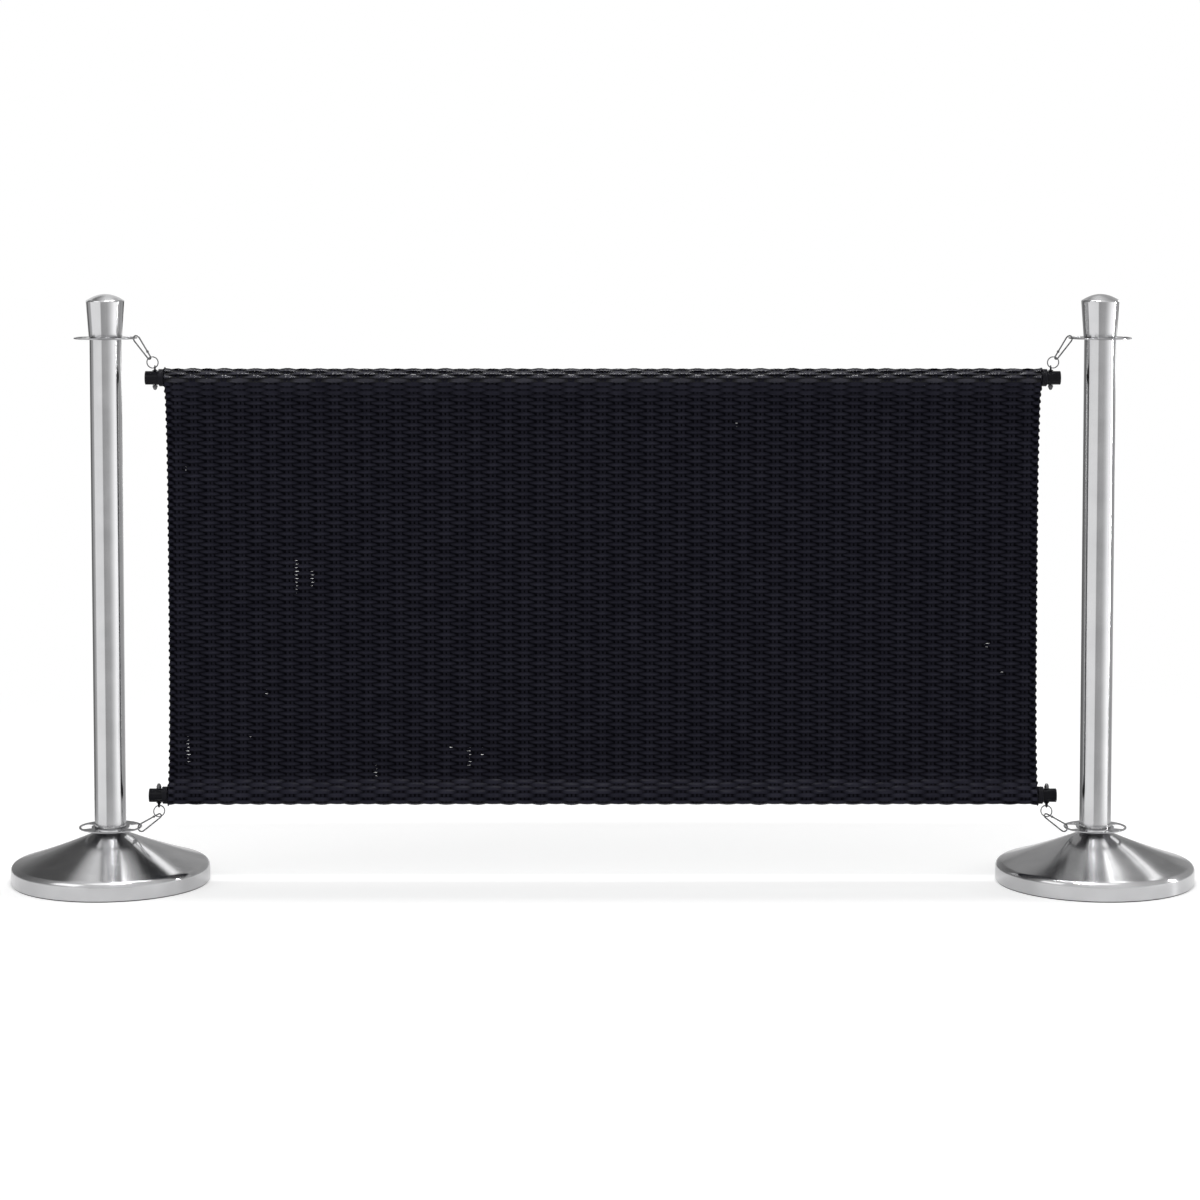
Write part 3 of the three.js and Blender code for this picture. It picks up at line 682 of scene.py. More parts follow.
def rod_fittings(side, level):
    name = f"{side}_{level}"
    rod_z = middle(f"{level}_rod")[2]
    eye_x = -abs(middle(name + "_rod_washer")[0])
    up = 1 if level == "top" else -1
    turn = EYE_TURN if level == "top" else -EYE_TURN
    cos, sin = math.cos(turn), math.sin(turn)
    turned_eye = np.array([[cos, sin, 0], [-sin, cos, 0], [0, 0, 1]])
    eye_z = ROD_RADIUS + EYE_STANDOFF
    washer_high = -(ROD_RADIUS + GAP)
    nut_high = washer_high - GAP - WASHER_THICKNESS
    waist = nut_high - NUT_HEIGHT
    dome = NUT_WIDTH / 2 - GAP

    def put(part):
        points, faces, maps = part
        part = points * (1, up, up) @ turned_eye + (eye_x, 0, rod_z), faces, maps
        return mirrored(part) if side == "right" else part

    eye = placed(wire(circle(EYE_RADIUS, 40), EYE_WIRE - WIRE_SLACK, True), (1, 0, 0), (0, 0, eye_z))
    wider = EYE_HEAD + EYE_FLARE * np.clip((eye_z - eye[0][:, 2:]) / EYE_RADIUS, 0, 1)
    eye = eye[0] * np.concatenate([wider, np.ones((len(wider), 2))], 1), eye[1], eye[2]
    shank_low, shank_high = nut_high - SHANK_END, eye_z - EYE_RADIUS
    shank = lathe([(0, shank_low), (EYE_SHANK / 2, shank_low), (EYE_SHANK / 2, shank_high),
                   (0, shank_high)], 20)
    seat = ROD_RADIUS + GAP
    steps = [(EYE_SHOULDER - less, seat + rise) for less, rise in SHOULDER_STEPS]
    shoulder = lathe([(0, seat)] + steps + [(0, seat + SHOULDER_HEIGHT)], 24)
    skin(name + "_eye_bolt", [put(eye), put(shank), put(shoulder)], "panel", PAINT, 50)
    washer = lathe(rounded(EYE_SHANK / 2 + GAP, WASHER_RADIUS, washer_high - WASHER_THICKNESS,
                           washer_high, WASHER_EDGE), 32)
    skin(name + "_rod_washer", [put(washer)], "panel", WIRE_STEEL, 40)
    bend = np.linspace(0, np.pi / 2, 9)[1:-1]
    turned = [(0, waist + DOME_SINK), (dome, waist + DOME_SINK), (dome, waist)]
    turned += [(dome * math.cos(a), waist - NUT_DOME * math.sin(a)) for a in bend] + [(0, waist - NUT_DOME)]
    skin(name + "_cap_nut", [put(hex_prism(NUT_WIDTH, waist, nut_high)), put(lathe(turned, 32))],
         "panel", WIRE_STEEL, 40)
    end = abs(reach(name + "_rod_end_cap")[0 if side == "left" else 1][0])
    spigot = ROD_RADIUS - ROD_WALL - GAP
    flange = end - END_CAP_FLANGE
    inside = flange - END_CAP_SPIGOT
    cap = [(0, end)]
    cap += arc((ROD_RADIUS - END_CAP_ROUNDING, end - END_CAP_ROUNDING), END_CAP_ROUNDING, 90, 0, 4)
    cap += [(ROD_RADIUS, flange), (spigot, flange), (spigot, inside), (0, inside)]
    cap = placed(lathe(cap, 48), (-1, 0, 0), (0, 0, rod_z))
    skin(name + "_rod_end_cap", [mirrored(cap) if side == "right" else cap], "panel",
         RUBBER, 50)


for level in ("top", "bottom"):
    low, high = reach(level + "_rod")
    bore = ROD_RADIUS - ROD_WALL
    face = ROD_RADIUS - ROD_EDGE
    stops = np.linspace(low[0] + ROD_EDGE_LENGTH, high[0] - ROD_EDGE_LENGTH, 25)
    profile = [(bore, low[0]), (face, low[0])] + [(ROD_RADIUS, x) for x in stops]
    profile += [(face, high[0]), (bore, high[0])]
    rod = placed(lathe(profile, 48), (1, 0, 0), (0, 0, (low[2] + high[2]) / 2))
    skin(level + "_rod", [rod], "panel", PAINT, 40)
    for side in ("left", "right"):
        rod_fittings(side, level)


# Rings and snap hooks


def stand(part, place, direction, turn):
    """A flat piece drawn in X and Y, stood on a line: X along it, and Y turned about it."""
    along = np.array(direction, float) / np.linalg.norm(direction)
    flat = np.cross((0, 1, 0), along)
    across = flat * math.cos(turn) + np.cross(along, flat) * math.sin(turn)
    points, faces, maps = part
    return points @ np.array([along, across, np.cross(along, across)]) + place, faces, maps


def hook_parts():
    line_length = HOOK_LENGTH - HOOK_WIRE
    leg = math.asin((HOOK_WIDE - HOOK_NARROW) / (line_length - HOOK_NARROW - HOOK_WIDE))
    flat_gap = (line_length - HOOK_NARROW - HOOK_WIDE) * math.cos(leg)
    gate_length = flat_gap - GATE_START - NOSE_LENGTH
    side = math.pi / 2 + leg
    ahead = np.array((math.cos(leg), math.sin(leg), 0))

    def bow(centre, radius, angle):
        return np.array((centre + radius * math.cos(angle), radius * math.sin(angle), 0))

    def on_leg(along):
        return bow(HOOK_NARROW, HOOK_NARROW, side) + ahead * along

    path = [on_leg(a) for a in np.linspace(GATE_START - KNUCKLE_RADIUS - GAP, 0, 6)]
    path += [bow(HOOK_NARROW, HOOK_NARROW, a) for a in np.linspace(side, 2 * math.pi - side, 19)[1:]]
    start = path[-1]
    far = bow(line_length - HOOK_WIDE, HOOK_WIDE, -side)
    path += [start + (far - start) * s for s in np.linspace(0, 1, 12)[1:]]
    path += [bow(line_length - HOOK_WIDE, HOOK_WIDE, a) for a in np.linspace(-side, side, 25)[1:]]
    end = path[-1]
    stop = on_leg(GATE_START + gate_length)
    path += [end + (stop - end) * s for s in np.linspace(0, 1, 4)[1:]]
    half = TONGUE_THICKNESS / 2
    stops = (GATE_START - KNUCKLE_RADIUS - GAP - TONGUE_THICKNESS, GATE_START - 1, GATE_START)
    tongue = wire([on_leg(a) for a in stops], TONGUE_WIDTH, sides=16, ends=4)
    tongue = (tongue[0] * (1, 1, half / (TONGUE_WIDTH / 2)), tongue[1], tongue[2])
    stops = np.linspace(GATE_START + GATE_FOOT, GATE_START + gate_length - GAP - PIN_RADIUS, 10)
    gate = wire([on_leg(a) for a in stops], HOOK_WIRE, sides=12, ends=3)
    knuckle = KNUCKLE_HEIGHT / 2
    cheeks = []
    for low, high in ((-knuckle, -half - GAP), (half + GAP, knuckle)):
        face = KNUCKLE_RADIUS - KNUCKLE_EDGE
        disc = lathe([(0, low), (face, low), (KNUCKLE_RADIUS, low + KNUCKLE_EDGE),
                      (KNUCKLE_RADIUS, high - KNUCKLE_EDGE), (face, high), (0, high)], 24)
        cheeks.append((disc[0] + on_leg(GATE_START), disc[1], disc[2]))
    head, half_pin = PIN_RADIUS + PIN_HEAD, knuckle + PIN_STANDS_OUT
    pin = lathe([(0, -half_pin), (head, -half_pin), (head, half_pin), (0, half_pin)], 16)
    pin = (pin[0] + on_leg(GATE_START), pin[1], pin[2])
    return [wire(path, HOOK_WIRE, sides=12, ends=3), tongue], [gate] + cheeks, [pin]


def links(side, level):
    name = f"{side}_{level}"
    eye_x = -abs(middle(name + "_rod_washer")[0])
    rod_z = middle(level + "_rod")[2]
    ring_middle = middle(name + "_ring") * (1 if side == "left" else -1, 1, 1)
    plate_name = "upper" if level == "top" else "lower"
    plate_middle = middle(f"{side}_{plate_name}_plate")
    edge = np.array((-abs(plate_middle[0]) + PLATE_RADIUS - STRIP_WIDTH / 2, 0, plate_middle[2]))
    if level == "top":
        eye = np.array((eye_x, 0, rod_z + ROD_RADIUS + EYE_STANDOFF + EYE_RADIUS))
        line = np.array((-math.cos(TOP_SLOPE), 0, math.sin(TOP_SLOPE)))
        ring_gap = GAP + (RING_WIRE + EYE_WIRE) / 2
        hook_gap = GAP + (RING_WIRE + HOOK_WIRE) / 2
        hook_place = eye + line * (2 * RING_RADIUS - ring_gap - hook_gap)
        ring_line, hook_line = line, line
        ring_turn, hook_turn = TOP_RING_TURN, TOP_HOOK_TURN
    else:
        foot = np.array((eye_x, 0, ring_middle[2] - RING_RADIUS))
        hook_place = foot + BOTTOM_HOOK_SHIFT
        hook_line = edge - (0, 0, BOTTOM_HOOK_SAG) - hook_place
        ring_line = (0, 0, -1)
        ring_turn, hook_turn = BOTTOM_RING_TURN, BOTTOM_HOOK_TURN

    def put(part, place, line, turn):
        part = stand(part, place, line, turn)
        return mirrored(part) if side == "right" else part

    ring = wire(circle(RING_RADIUS, 64), RING_WIRE - WIRE_SLACK / 2, True)
    skin(name + "_ring", [put(ring, ring_middle, ring_line, ring_turn)], name + "_ring_body",
         WIRE_STEEL)
    body, gate, pin = hook_parts()
    for kind, parts, rides in (("hook_body", body, side + "_hooks"), ("gate_pin", pin, side + "_hooks"),
                               ("hook_gate", gate, name + "_gate_body")):
        parts = [put(part, hook_place, hook_line, hook_turn) for part in parts]
        skin(f"{name}_{kind}", parts, rides, WIRE_STEEL, 50)


for side in ("left", "right"):
    for level in ("top", "bottom"):
        links(side, level)


# Woven screen

# Share of a strand's strip of the map that the strand fills
MAP_FILL = 0.9
ROW_PITCH = 5.83
PAIR_PITCH = 25.3
PAIRS = 55
SLEEVE_RADIUS = 13.4
POCKET = 27.0
# Behind a rod the cloth goes back towards the seam for a share of the way, and then hangs free
FLAP_SHARE = 0.42
FLAP_END = (-2.2, -6.0)
WEFT_AMPLITUDE = 1.75
WEFT_THICKNESS = 1.5
WEFT_NARROW = 6.4
WEFT_WIDE = 7.1
WARP_SPACING = 6.2
WARP_WIDTH = 4.2
WARP_THICKNESS = 1.2
WARP_SWING = 0.35
SHEET_INSET = 9.0
SHEET_WAIST = 4.0
EDGE_CORD = 2.0
SECTION_LEAN = 0.3
PUCKER = 0.2
# Rows further from the rods than the pocket and nearer the middle plane than this belong to the sheet
IN_FRONT = 2.0
# How far below a rod's middle the rows of its sleeve start
SLEEVE_BELOW = 4.0
# How much the strands stray, each by itself, and the length over which a slow change comes and goes
ROW_STRAY, LIFT_STRAY, WARP_STRAY = 0.1, 0.08, 0.25
DRIFT, DRIFT_LENGTH = 0.12, 90
TWIST, TWIST_STRAY, TWIST_LENGTH = 6, 7, 45
WIDTH_STRAY, WIDTH_LENGTH = 0.02, 60
WANDER, WANDER_LENGTH = 0.25, 120
# Round a rod the weft lies flatter and wider and leans, and the warp swings further
ROD_FLATTER, ROD_WIDER, ROD_LEAN, ROD_SWING = 0.45, 0.3, 24, 1.2
# Share of a warp's place that follows the cloth's width at its height
WARP_FOLLOWS = 0.35
# Corners of a strand that stand out from its edges by more than this share are on its faces
ON_FACE = 0.3
# How far up a wave the painted light of the pale tone starts on faces and on edges, and how much of it the
# edges get; below it the strands take the painted shade colour
CROWN_START, EDGE_START, EDGE_CROWN = 0.38, 0.4, 0.4
# The same mix of pale tone and painted shade colour, which also sets roughness, for the warps, the edge
# cord, the windings and the turns round the cord
WARP_CROWN, CORD_CROWN, WINDING_CROWN = 0.5, 0.1, 0.2
TURN_CROWN, TURN_DARKER = 0.5, 0.45
# Turns of the weft round the edge cord
TURN_REACH, TURN_STRAY, TURN_WIDTH, TURN_WIDER = 1.9, 0.1, 5.6, 0.6
EDGE_CORD_WIDTH = 2.4
# Strand wound round the sleeve ends
WINDING_WIDTH, WINDING_THICKNESS, WINDING_WAVE, WINDING_SINK = 3.6, 1.7, 0.35, 0.2
WINDING_OVER, WINDING_INSET = 0.5, 1.8
# Places (x, z) where the strands lie looser and let light through, with their reach and how much narrower
LOOSE = [
    (-493, 500, 3.5, 34, 0.19), (-468, 492, 3.5, 16, 0.19), (-545, 306, 3.5, 8, 0.19),
    (-671, 215, 3.5, 24, 0.19), (-367, 175, 3.5, 14, 0.19), (-570, 235, 3.5, 6, 0.19),
    (-247, 218, 3.5, 8, 0.2), (-217, 205, 3.5, 22, 0.19), (-196, 208, 3.5, 10, 0.19),
    (620, 385, 3.5, 6, 0.19), (645, 343, 3.5, 6, 0.19), (569, 158, 3.5, 8, 0.2),
    (215, 742, 3.5, 6, 0.19), (-671, 672, 3.5, 6, 0.19),
]
LOW_ROD, HIGH_ROD = middle("bottom_rod")[2], middle("top_rod")[2]
SLEEVE_END = abs(reach("woven_panel")[0][0])


def screen_line():
    """Points (y, z) along the middle of the cloth, from one seam behind a rod to the other."""
    lean = math.degrees(math.asin(SLEEVE_RADIUS / POCKET))

    def pocket(centre, up):
        round_it = [(-y, z) for y, z in arc((0, 0), SLEEVE_RADIUS, -lean, 180 + lean, 60)]
        foot = np.array((0.0, -POCKET))
        front, back = np.array(round_it[0]), np.array(round_it[-1])
        if front[0] > 0:
            round_it, front, back = round_it[::-1], back, front
        last = back + (foot - back) * FLAP_SHARE
        line = [foot, foot + (front - foot) * 0.5] + [np.array(p) for p in round_it]
        line += [back + (foot - back) * FLAP_SHARE * 0.5, last, last + np.array(FLAP_END)]
        return [(y, centre + up * z) for y, z in line]

    top = pocket(HIGH_ROD, 1)
    bottom = pocket(LOW_ROD, -1)[::-1]
    rough = np.array(bottom + top, float)
    length = np.concatenate([[0], np.cumsum(np.linalg.norm(np.diff(rough, axis=0), axis=1))])
    fine = np.arange(0, length[-1], 0.5)
    line = np.stack([np.interp(fine, length, rough[:, k]) for k in (0, 1)], -1)
    window = np.hanning(17)
    window /= window.sum()
    pad = 8
    for _ in range(2):
        ahead = np.concatenate([line[:1] + (line[:1] - line[1:2]) * np.arange(pad, 0, -1)[:, None], line,
                                line[-1:] + (line[-1:] - line[-2:-1]) * np.arange(1, pad + 1)[:, None]])
        line = np.stack([np.convolve(ahead[:, k], window, "valid") for k in (0, 1)], -1)
    length = np.concatenate([[0], np.cumsum(np.linalg.norm(np.diff(line, axis=0), axis=1))])
    return line, length


LINE, LINE_LENGTH = screen_line()


def on_line(s):
    """Place, direction along the cloth and direction out of its front, at distances along the line."""
    y = np.interp(s, LINE_LENGTH, LINE[:, 0])
    z = np.interp(s, LINE_LENGTH, LINE[:, 1])
    step = 0.6
    dy = np.interp(s + step, LINE_LENGTH, LINE[:, 0]) - np.interp(s - step, LINE_LENGTH, LINE[:, 0])
    dz = np.interp(s + step, LINE_LENGTH, LINE[:, 1]) - np.interp(s - step, LINE_LENGTH, LINE[:, 1])
    size = np.hypot(dy, dz)
    zero = np.zeros_like(y)
    along = np.stack([zero, dy / size, dz / size], -1)
    out = np.stack([zero, -dz / size, dy / size], -1)
    return np.stack([zero, y, z], -1), along, out


def half_width(z):
    """Half the cloth's width at a height: as wide as the sleeves need at the rods, drawn in between them."""
    level = np.clip((z - (LOW_ROD + HIGH_ROD) / 2) / ((HIGH_ROD - LOW_ROD) / 2), -1, 1)
    return SLEEVE_END - SHEET_INSET - SHEET_WAIST * (1 - level ** 4)


def strands(points):
    """Closed strands: points[strand, station, corner, 3], with maps side by side."""
    count, stations, corners = points.shape[:3]
    base = np.arange(count)[:, None, None] * stations * corners
    i, j = np.meshgrid(np.arange(stations - 1), np.arange(corners), indexing="ij")
    quad = quads_of(i, j, i + 1, (j + 1) % corners, corners)
    quads = (quad.reshape(1, -1, 4) + base).reshape(-1, 4)
    u0 = np.broadcast_to((i / (stations - 1)).reshape(1, -1), (count, i.size))
    u1 = np.broadcast_to(((i + 1) / (stations - 1)).reshape(1, -1), (count, i.size))
    slot = 1 / count
    across = slot * MAP_FILL
    v0 = np.arange(count)[:, None] * slot + (j / corners).reshape(1, -1) * across
    v1 = np.arange(count)[:, None] * slot + ((j + 1) / corners).reshape(1, -1) * across
    uv = maps_of((u0, v0), (u0, v1), (u1, v1), (u1, v0)).reshape(-1, 4, 2)
    first = np.arange(corners)[None, ::-1] + base[:, 0]
    last = np.arange(corners)[None] + (stations - 1) * corners + base[:, 0]
    spot = np.zeros((count, corners, 2))
    spot[:, :, 1] = np.arange(count)[:, None] * slot
    return points.reshape(-1, 3), [quads, first, last], [uv, spot, spot]


def smooth_noise(count, stations, spacing, knots_every):
    """A smooth random line from -1 to 1 for each strand."""
    knots = int(stations * spacing / knots_every) + 4
    values = RNG.uniform(-1, 1, (count, knots))
    place = np.arange(stations) * spacing / knots_every + 1
    k = np.floor(place).astype(int)
    t = place - k
    t = t * t * (3 - 2 * t)
    return values[:, k] * (1 - t) + values[:, k + 1] * t


ROW_COUNT = int(round((LINE_LENGTH[-1] - ROW_PITCH) / ROW_PITCH)) + 1
ROW_S = ROW_PITCH / 2 + (LINE_LENGTH[-1] - ROW_PITCH) * np.arange(ROW_COUNT) / (ROW_COUNT - 1)
LAST_PAIR = PAIR_PITCH * (PAIRS - 1) / 2
STEP, FINE_STEP = PAIR_PITCH / 4, PAIR_PITCH / 20


def row_points(rows, corners, step, pucker):
    """The weft: flat strands across the cloth, over one pair of warps and under the next."""
    s = ROW_S[rows] + RNG.uniform(-ROW_STRAY, ROW_STRAY, len(rows))
    place, along, out = on_line(s)
    cord = half_width(place[:, 2]) - EDGE_CORD
    inner = np.arange(-LAST_PAIR, LAST_PAIR + 0.01, step)
    share = np.array([1 / 3, 2 / 3, 1])
    x = np.concatenate([
        -LAST_PAIR - (cord[:, None] - LAST_PAIR) * share[None, ::-1],
        np.broadcast_to(inner, (len(rows), len(inner))),
        LAST_PAIR + (cord[:, None] - LAST_PAIR) * share[None],
    ], 1)
    phase = np.concatenate([
        np.broadcast_to(-np.pi * (PAIRS // 2) - np.pi * share[None, ::-1], (len(rows), 3)),
        np.broadcast_to(np.pi * inner / PAIR_PITCH, (len(rows), len(inner))),
        np.broadcast_to(np.pi * (PAIRS // 2) + np.pi * share[None], (len(rows), 3)),
    ], 1) + np.pi * (rows % 2)[:, None]
    stations = x.shape[1]
    wave = np.cos(phase)
    round_rod = np.clip(2 * np.abs(out[:, 2:]), 0, 1)
    lift = WEFT_AMPLITUDE * (1 + LIFT_STRAY * RNG.uniform(-1, 1, (len(rows), 1))) * wave
    lift = lift * (1 - ROD_FLATTER * round_rod)
    from_pair = x - PAIR_PITCH * np.round(x / PAIR_PITCH)
    lift = lift - pucker * np.clip(wave, 0, 1) ** 2 * np.cos(2 * np.pi * from_pair / WARP_SPACING)
    drift = DRIFT * smooth_noise(len(rows), stations, step, DRIFT_LENGTH)
    twist = np.radians(TWIST + TWIST_STRAY * smooth_noise(len(rows), stations, step, TWIST_LENGTH)) * wave
    on_front = np.clip(1 - np.abs(place[:, 2:] - HIGH_ROD) / SLEEVE_RADIUS, 0, 1) * (place[:, 1:2] < 0)
    twist = twist + np.radians(ROD_LEAN) * np.sqrt(on_front)
    width = (WEFT_NARROW + (WEFT_WIDE - WEFT_NARROW) * wave ** 2)
    width = width * (1 + WIDTH_STRAY * smooth_noise(len(rows), stations, step, WIDTH_LENGTH))
    width = width * (1 + ROD_WIDER * round_rod)
    for at_x, at_z, reach_x, reach_z, less in LOOSE:
        near = np.exp(-((x - at_x) / reach_x) ** 2 - ((place[:, 2:] - at_z) / reach_z) ** 4)
        width = width * (1 - less * near)
    centre = place[:, None] + out[:, None] * lift[..., None] + along[:, None] * drift[..., None]
    centre[..., 0] += x
    turned_along = along[:, None] * np.cos(twist)[..., None] - out[:, None] * np.sin(twist)[..., None]
    turned_out = out[:, None] * np.cos(twist)[..., None] + along[:, None] * np.sin(twist)[..., None]
    angle = 2 * np.pi * np.arange(corners) / corners
    section = np.stack([np.cos(angle) - SECTION_LEAN * np.abs(np.sin(angle)), np.sin(angle)], -1)
    points = (
        centre[:, :, None]
        + turned_along[:, :, None] * (section[:, 0] * width[..., None] / 2)[..., None]
        + turned_out[:, :, None] * (section[:, 1] * WEFT_THICKNESS / 2)[..., None]
    )
    # Painted light and shade: faces that stand forward on the wave get the pale tone, and faces turned back
    # into the dips get the painted shade colour
    face = np.sin(angle) * wave[..., None]
    edge = np.clip((np.abs(wave[..., None]) - EDGE_START) / (1 - EDGE_START), 0, 1) * EDGE_CROWN
    painted_light_on_faces = np.clip((face + CROWN_START) / (1 - CROWN_START), 0, 1)
    gloss_and_painted_shade = np.where(np.abs(np.sin(angle)) > ON_FACE, painted_light_on_faces, edge)
    return points, gloss_and_painted_shade


rows = np.arange(ROW_COUNT)
row_place = on_line(ROW_S)[0]
in_sheet = (row_place[:, 2] > LOW_ROD + POCKET) & (row_place[:, 2] < HIGH_ROD - POCKET)
in_sheet &= abs(row_place[:, 1]) < IN_FRONT
sheet_rows = rows[in_sheet]
low_rows, high_rows = rows[rows < sheet_rows[0]], rows[rows > sheet_rows[-1]]


def weft_piece(name, chosen, corners, flat_above, material, step=STEP, pucker=0.0):
    points, gloss_and_painted_shade = row_points(chosen, corners, step, pucker)
    return woven(name, [strands(points)], material, flat_above, gloss_and_painted_shade)


sheet = weft_piece("screen_weft", sheet_rows, 4, 24, STRAND)
low_sleeve = weft_piece("screen_bottom_sleeve_weft", low_rows, 8, 60, STRAND)
on_rod = row_place[high_rows, 2] > HIGH_ROD - SLEEVE_BELOW
high_pocket = weft_piece("screen_top_pocket_weft", high_rows[~on_rod], 8, 60, STRAND)
high_sleeve = weft_piece("screen_top_sleeve_weft", high_rows[on_rod], 8, 60, POLISHED_STRAND,
                         FINE_STEP, PUCKER)


def flat_strand(centre, out, corners, width, thickness):
    """The sections of a strand whose width lies along X."""
    angle = 2 * np.pi * np.arange(corners) / corners
    return (
        centre[:, None]
        + np.array((1, 0, 0)) * (np.cos(angle) * width / 2)[None, :, None]
        + out[:, None] * (np.sin(angle) * thickness / 2)[None, :, None]
    )


def warp_points():
    """The warp: pairs of flat strands that run up the cloth and round both rods."""
    place, _, out = on_line(ROW_S)
    ratio = half_width(place[:, 2]) / (SLEEVE_END - SHEET_INSET)
    made = []
    for pair in range(PAIRS):
        x = (pair - PAIRS // 2) * PAIR_PITCH
        for which in (-0.5, 0.5):
            side = x + which * WARP_SPACING + RNG.uniform(-WARP_STRAY, WARP_STRAY)
            wander = WANDER * smooth_noise(1, ROW_COUNT, ROW_PITCH, WANDER_LENGTH)[0]
            swing = -WARP_SWING * np.cos(np.pi * (pair - PAIRS // 2)) * np.where(rows % 2, -1, 1)
            swing = swing * (1 + ROD_SWING * np.clip(2 * np.abs(out[:, 2]), 0, 1))
            centre = place + out * swing[:, None]
            centre[:, 0] += (side + wander) * (WARP_FOLLOWS * ratio + 1 - WARP_FOLLOWS)
            made.append(flat_strand(centre, out, 4, WARP_WIDTH, WARP_THICKNESS))
    return np.array(made)


warps = woven("screen_warps", [strands(warp_points())], STRAND, 60,
              np.full(PAIRS * 2 * ROW_COUNT * 4, WARP_CROWN))


def selvedge(side):
    """The turns of the weft round the edge cord, and the cord itself."""
    sign = -1 if side == "left" else 1
    start = 0 if side == "right" else 1
    turn = np.linspace(-np.pi / 2, np.pi / 2, 9)
    angle = 2 * np.pi * np.arange(8) / 8
    made = []
    for row in range(start, ROW_COUNT - 1, 2):
        s = (ROW_S[row] + ROW_S[row + 1]) / 2
        reach_s = (ROW_S[row + 1] - ROW_S[row]) / 2
        place, along, out = on_line(np.array([s]))
        cord = half_width(place[:, 2])[0] - EDGE_CORD
        ends = np.cos(np.pi * (PAIRS // 2 + 1) + np.pi * np.array([row % 2, (row + 1) % 2])) * WEFT_AMPLITUDE
        grow = 1 + TURN_STRAY * RNG.uniform(-1, 1)
        centre = (
            place
            + along * (np.sin(turn) * reach_s)[:, None]
            + out * (ends[0] + (ends[1] - ends[0]) * (np.sin(turn) + 1) / 2)[:, None]
        )
        centre[:, 0] += sign * (cord + np.cos(turn) * TURN_REACH * grow)
        ahead = directions(centre, False)
        flat = np.cross(ahead, out[0])
        flat /= np.linalg.norm(flat, axis=1, keepdims=True)
        face = np.cross(flat, ahead)
        width = (TURN_WIDTH + TURN_WIDER * np.abs(np.sin(turn)))[:, None, None]
        made.append(
            centre[:, None]
            + face[:, None] * (np.sin(angle)[None, :, None] * width / 2)
            + flat[:, None] * (np.cos(angle)[None, :, None] * WEFT_THICKNESS / 2)
        )
    place = on_line(ROW_S)[0]
    place[:, 0] += sign * (half_width(place[:, 2]) - EDGE_CORD)
    cord = wire(place, EDGE_CORD_WIDTH, sides=8)
    # The turns are darker and rougher towards their outer bend, blended towards the painted shade colour
    darker_outer_bend = TURN_CROWN - TURN_DARKER * np.cos(turn)
    darker_outer_bend = np.broadcast_to(darker_outer_bend[None, :, None], (len(made), len(turn), len(angle)))
    gloss_and_painted_shade = np.concatenate([darker_outer_bend.ravel(), np.full(len(cord[0]), CORD_CROWN)])
    return woven(f"screen_{side}_selvedge", [strands(np.array(made)), cord], GLOSSY_STRAND, gloss_and_painted_shade=gloss_and_painted_shade)


def sleeve_windings(side):
    """The strand that is wound round each end of the sleeves, outside the sheet."""
    sign = -1 if side == "left" else 1
    parts = []
    inner_end, outer_end = SLEEVE_END - SHEET_INSET - WINDING_OVER, SLEEVE_END - WINDING_INSET
    turns, steps = 3, 40
    for rod_z in (LOW_ROD, HIGH_ROD):
        share = np.linspace(0, 1, turns * steps + 1)
        angle = 2 * np.pi * turns * share
        radius = SLEEVE_RADIUS - WINDING_SINK + WINDING_WAVE * np.sin(angle * 3.0 + rod_z)
        out = np.stack([0 * angle, np.sin(angle), np.cos(angle)], -1)
        centre = out * radius[:, None]
        centre[:, 0] = sign * (inner_end + (outer_end - inner_end) * share)
        centre[:, 2] += rod_z
        parts.append(tube_grid(flat_strand(centre, out, 8, WINDING_WIDTH, WINDING_THICKNESS), False))
    count = sum(len(part[0]) for part in parts)
    return woven(f"screen_{side}_windings", parts, GLOSSY_STRAND, gloss_and_painted_shade=np.full(count, WINDING_CROWN))


selvedges = [selvedge(side) for side in ("left", "right")]
windings = [sleeve_windings(side) for side in ("left", "right")]

# Nodes kept from the solids, with a material
KEPT = {
    "base_weight": CAST_IRON,
    "base_bolt": WIRE_STEEL,
    "tube_foot_plug": WIRE_STEEL,
    "tube_head_plug": WIRE_STEEL,
    "cap_stud": WIRE_STEEL,
}
for side in ("left", "right"):
    for kind, kept_material in KEPT.items():
        node_object = frame["nodes"][f"{side}_{kind}"]
        node_object.data.materials.clear()
        node_object.data.materials.append(kept_material)


# Camera, floor and light

# In metres, degrees, millimetres and widths of the picture
CAMERA_PLACE = (-0.0045, -5.100, 1.122)
CAMERA_DIP, CAMERA_LENS, CAMERA_SHIFT = 3.96, 95.52, -0.16
camera = in_scene("camera", bpy.data.cameras.new("camera"))
camera.location = CAMERA_PLACE
camera.rotation_euler = (math.radians(90 - CAMERA_DIP), 0, 0)
camera.data.lens = CAMERA_LENS
camera.data.sensor_width = 36
camera.data.shift_y = CAMERA_SHIFT
camera.data.clip_end = 200
bpy.context.scene.camera = camera


WHITE = (1, 1, 1, 1)
FLOOR_RADIUS = 2.6
FLOOR_CORNERS = 96
FLOOR_GREY = (0.8, 0.8, 0.8, 1)
# How much brighter the floor shows to the camera and in the steel
CAMERA_GLOW, GLOSSY_GLOW = 0.4, 0.2
# Distances from the middle where the floor fades to white, and from a foot where no steel mirrors it
WHITE_FROM, WHITE_TO = 1.5, 2.3
MIRROR_FROM, MIRROR_TO = 0.35, 0.6


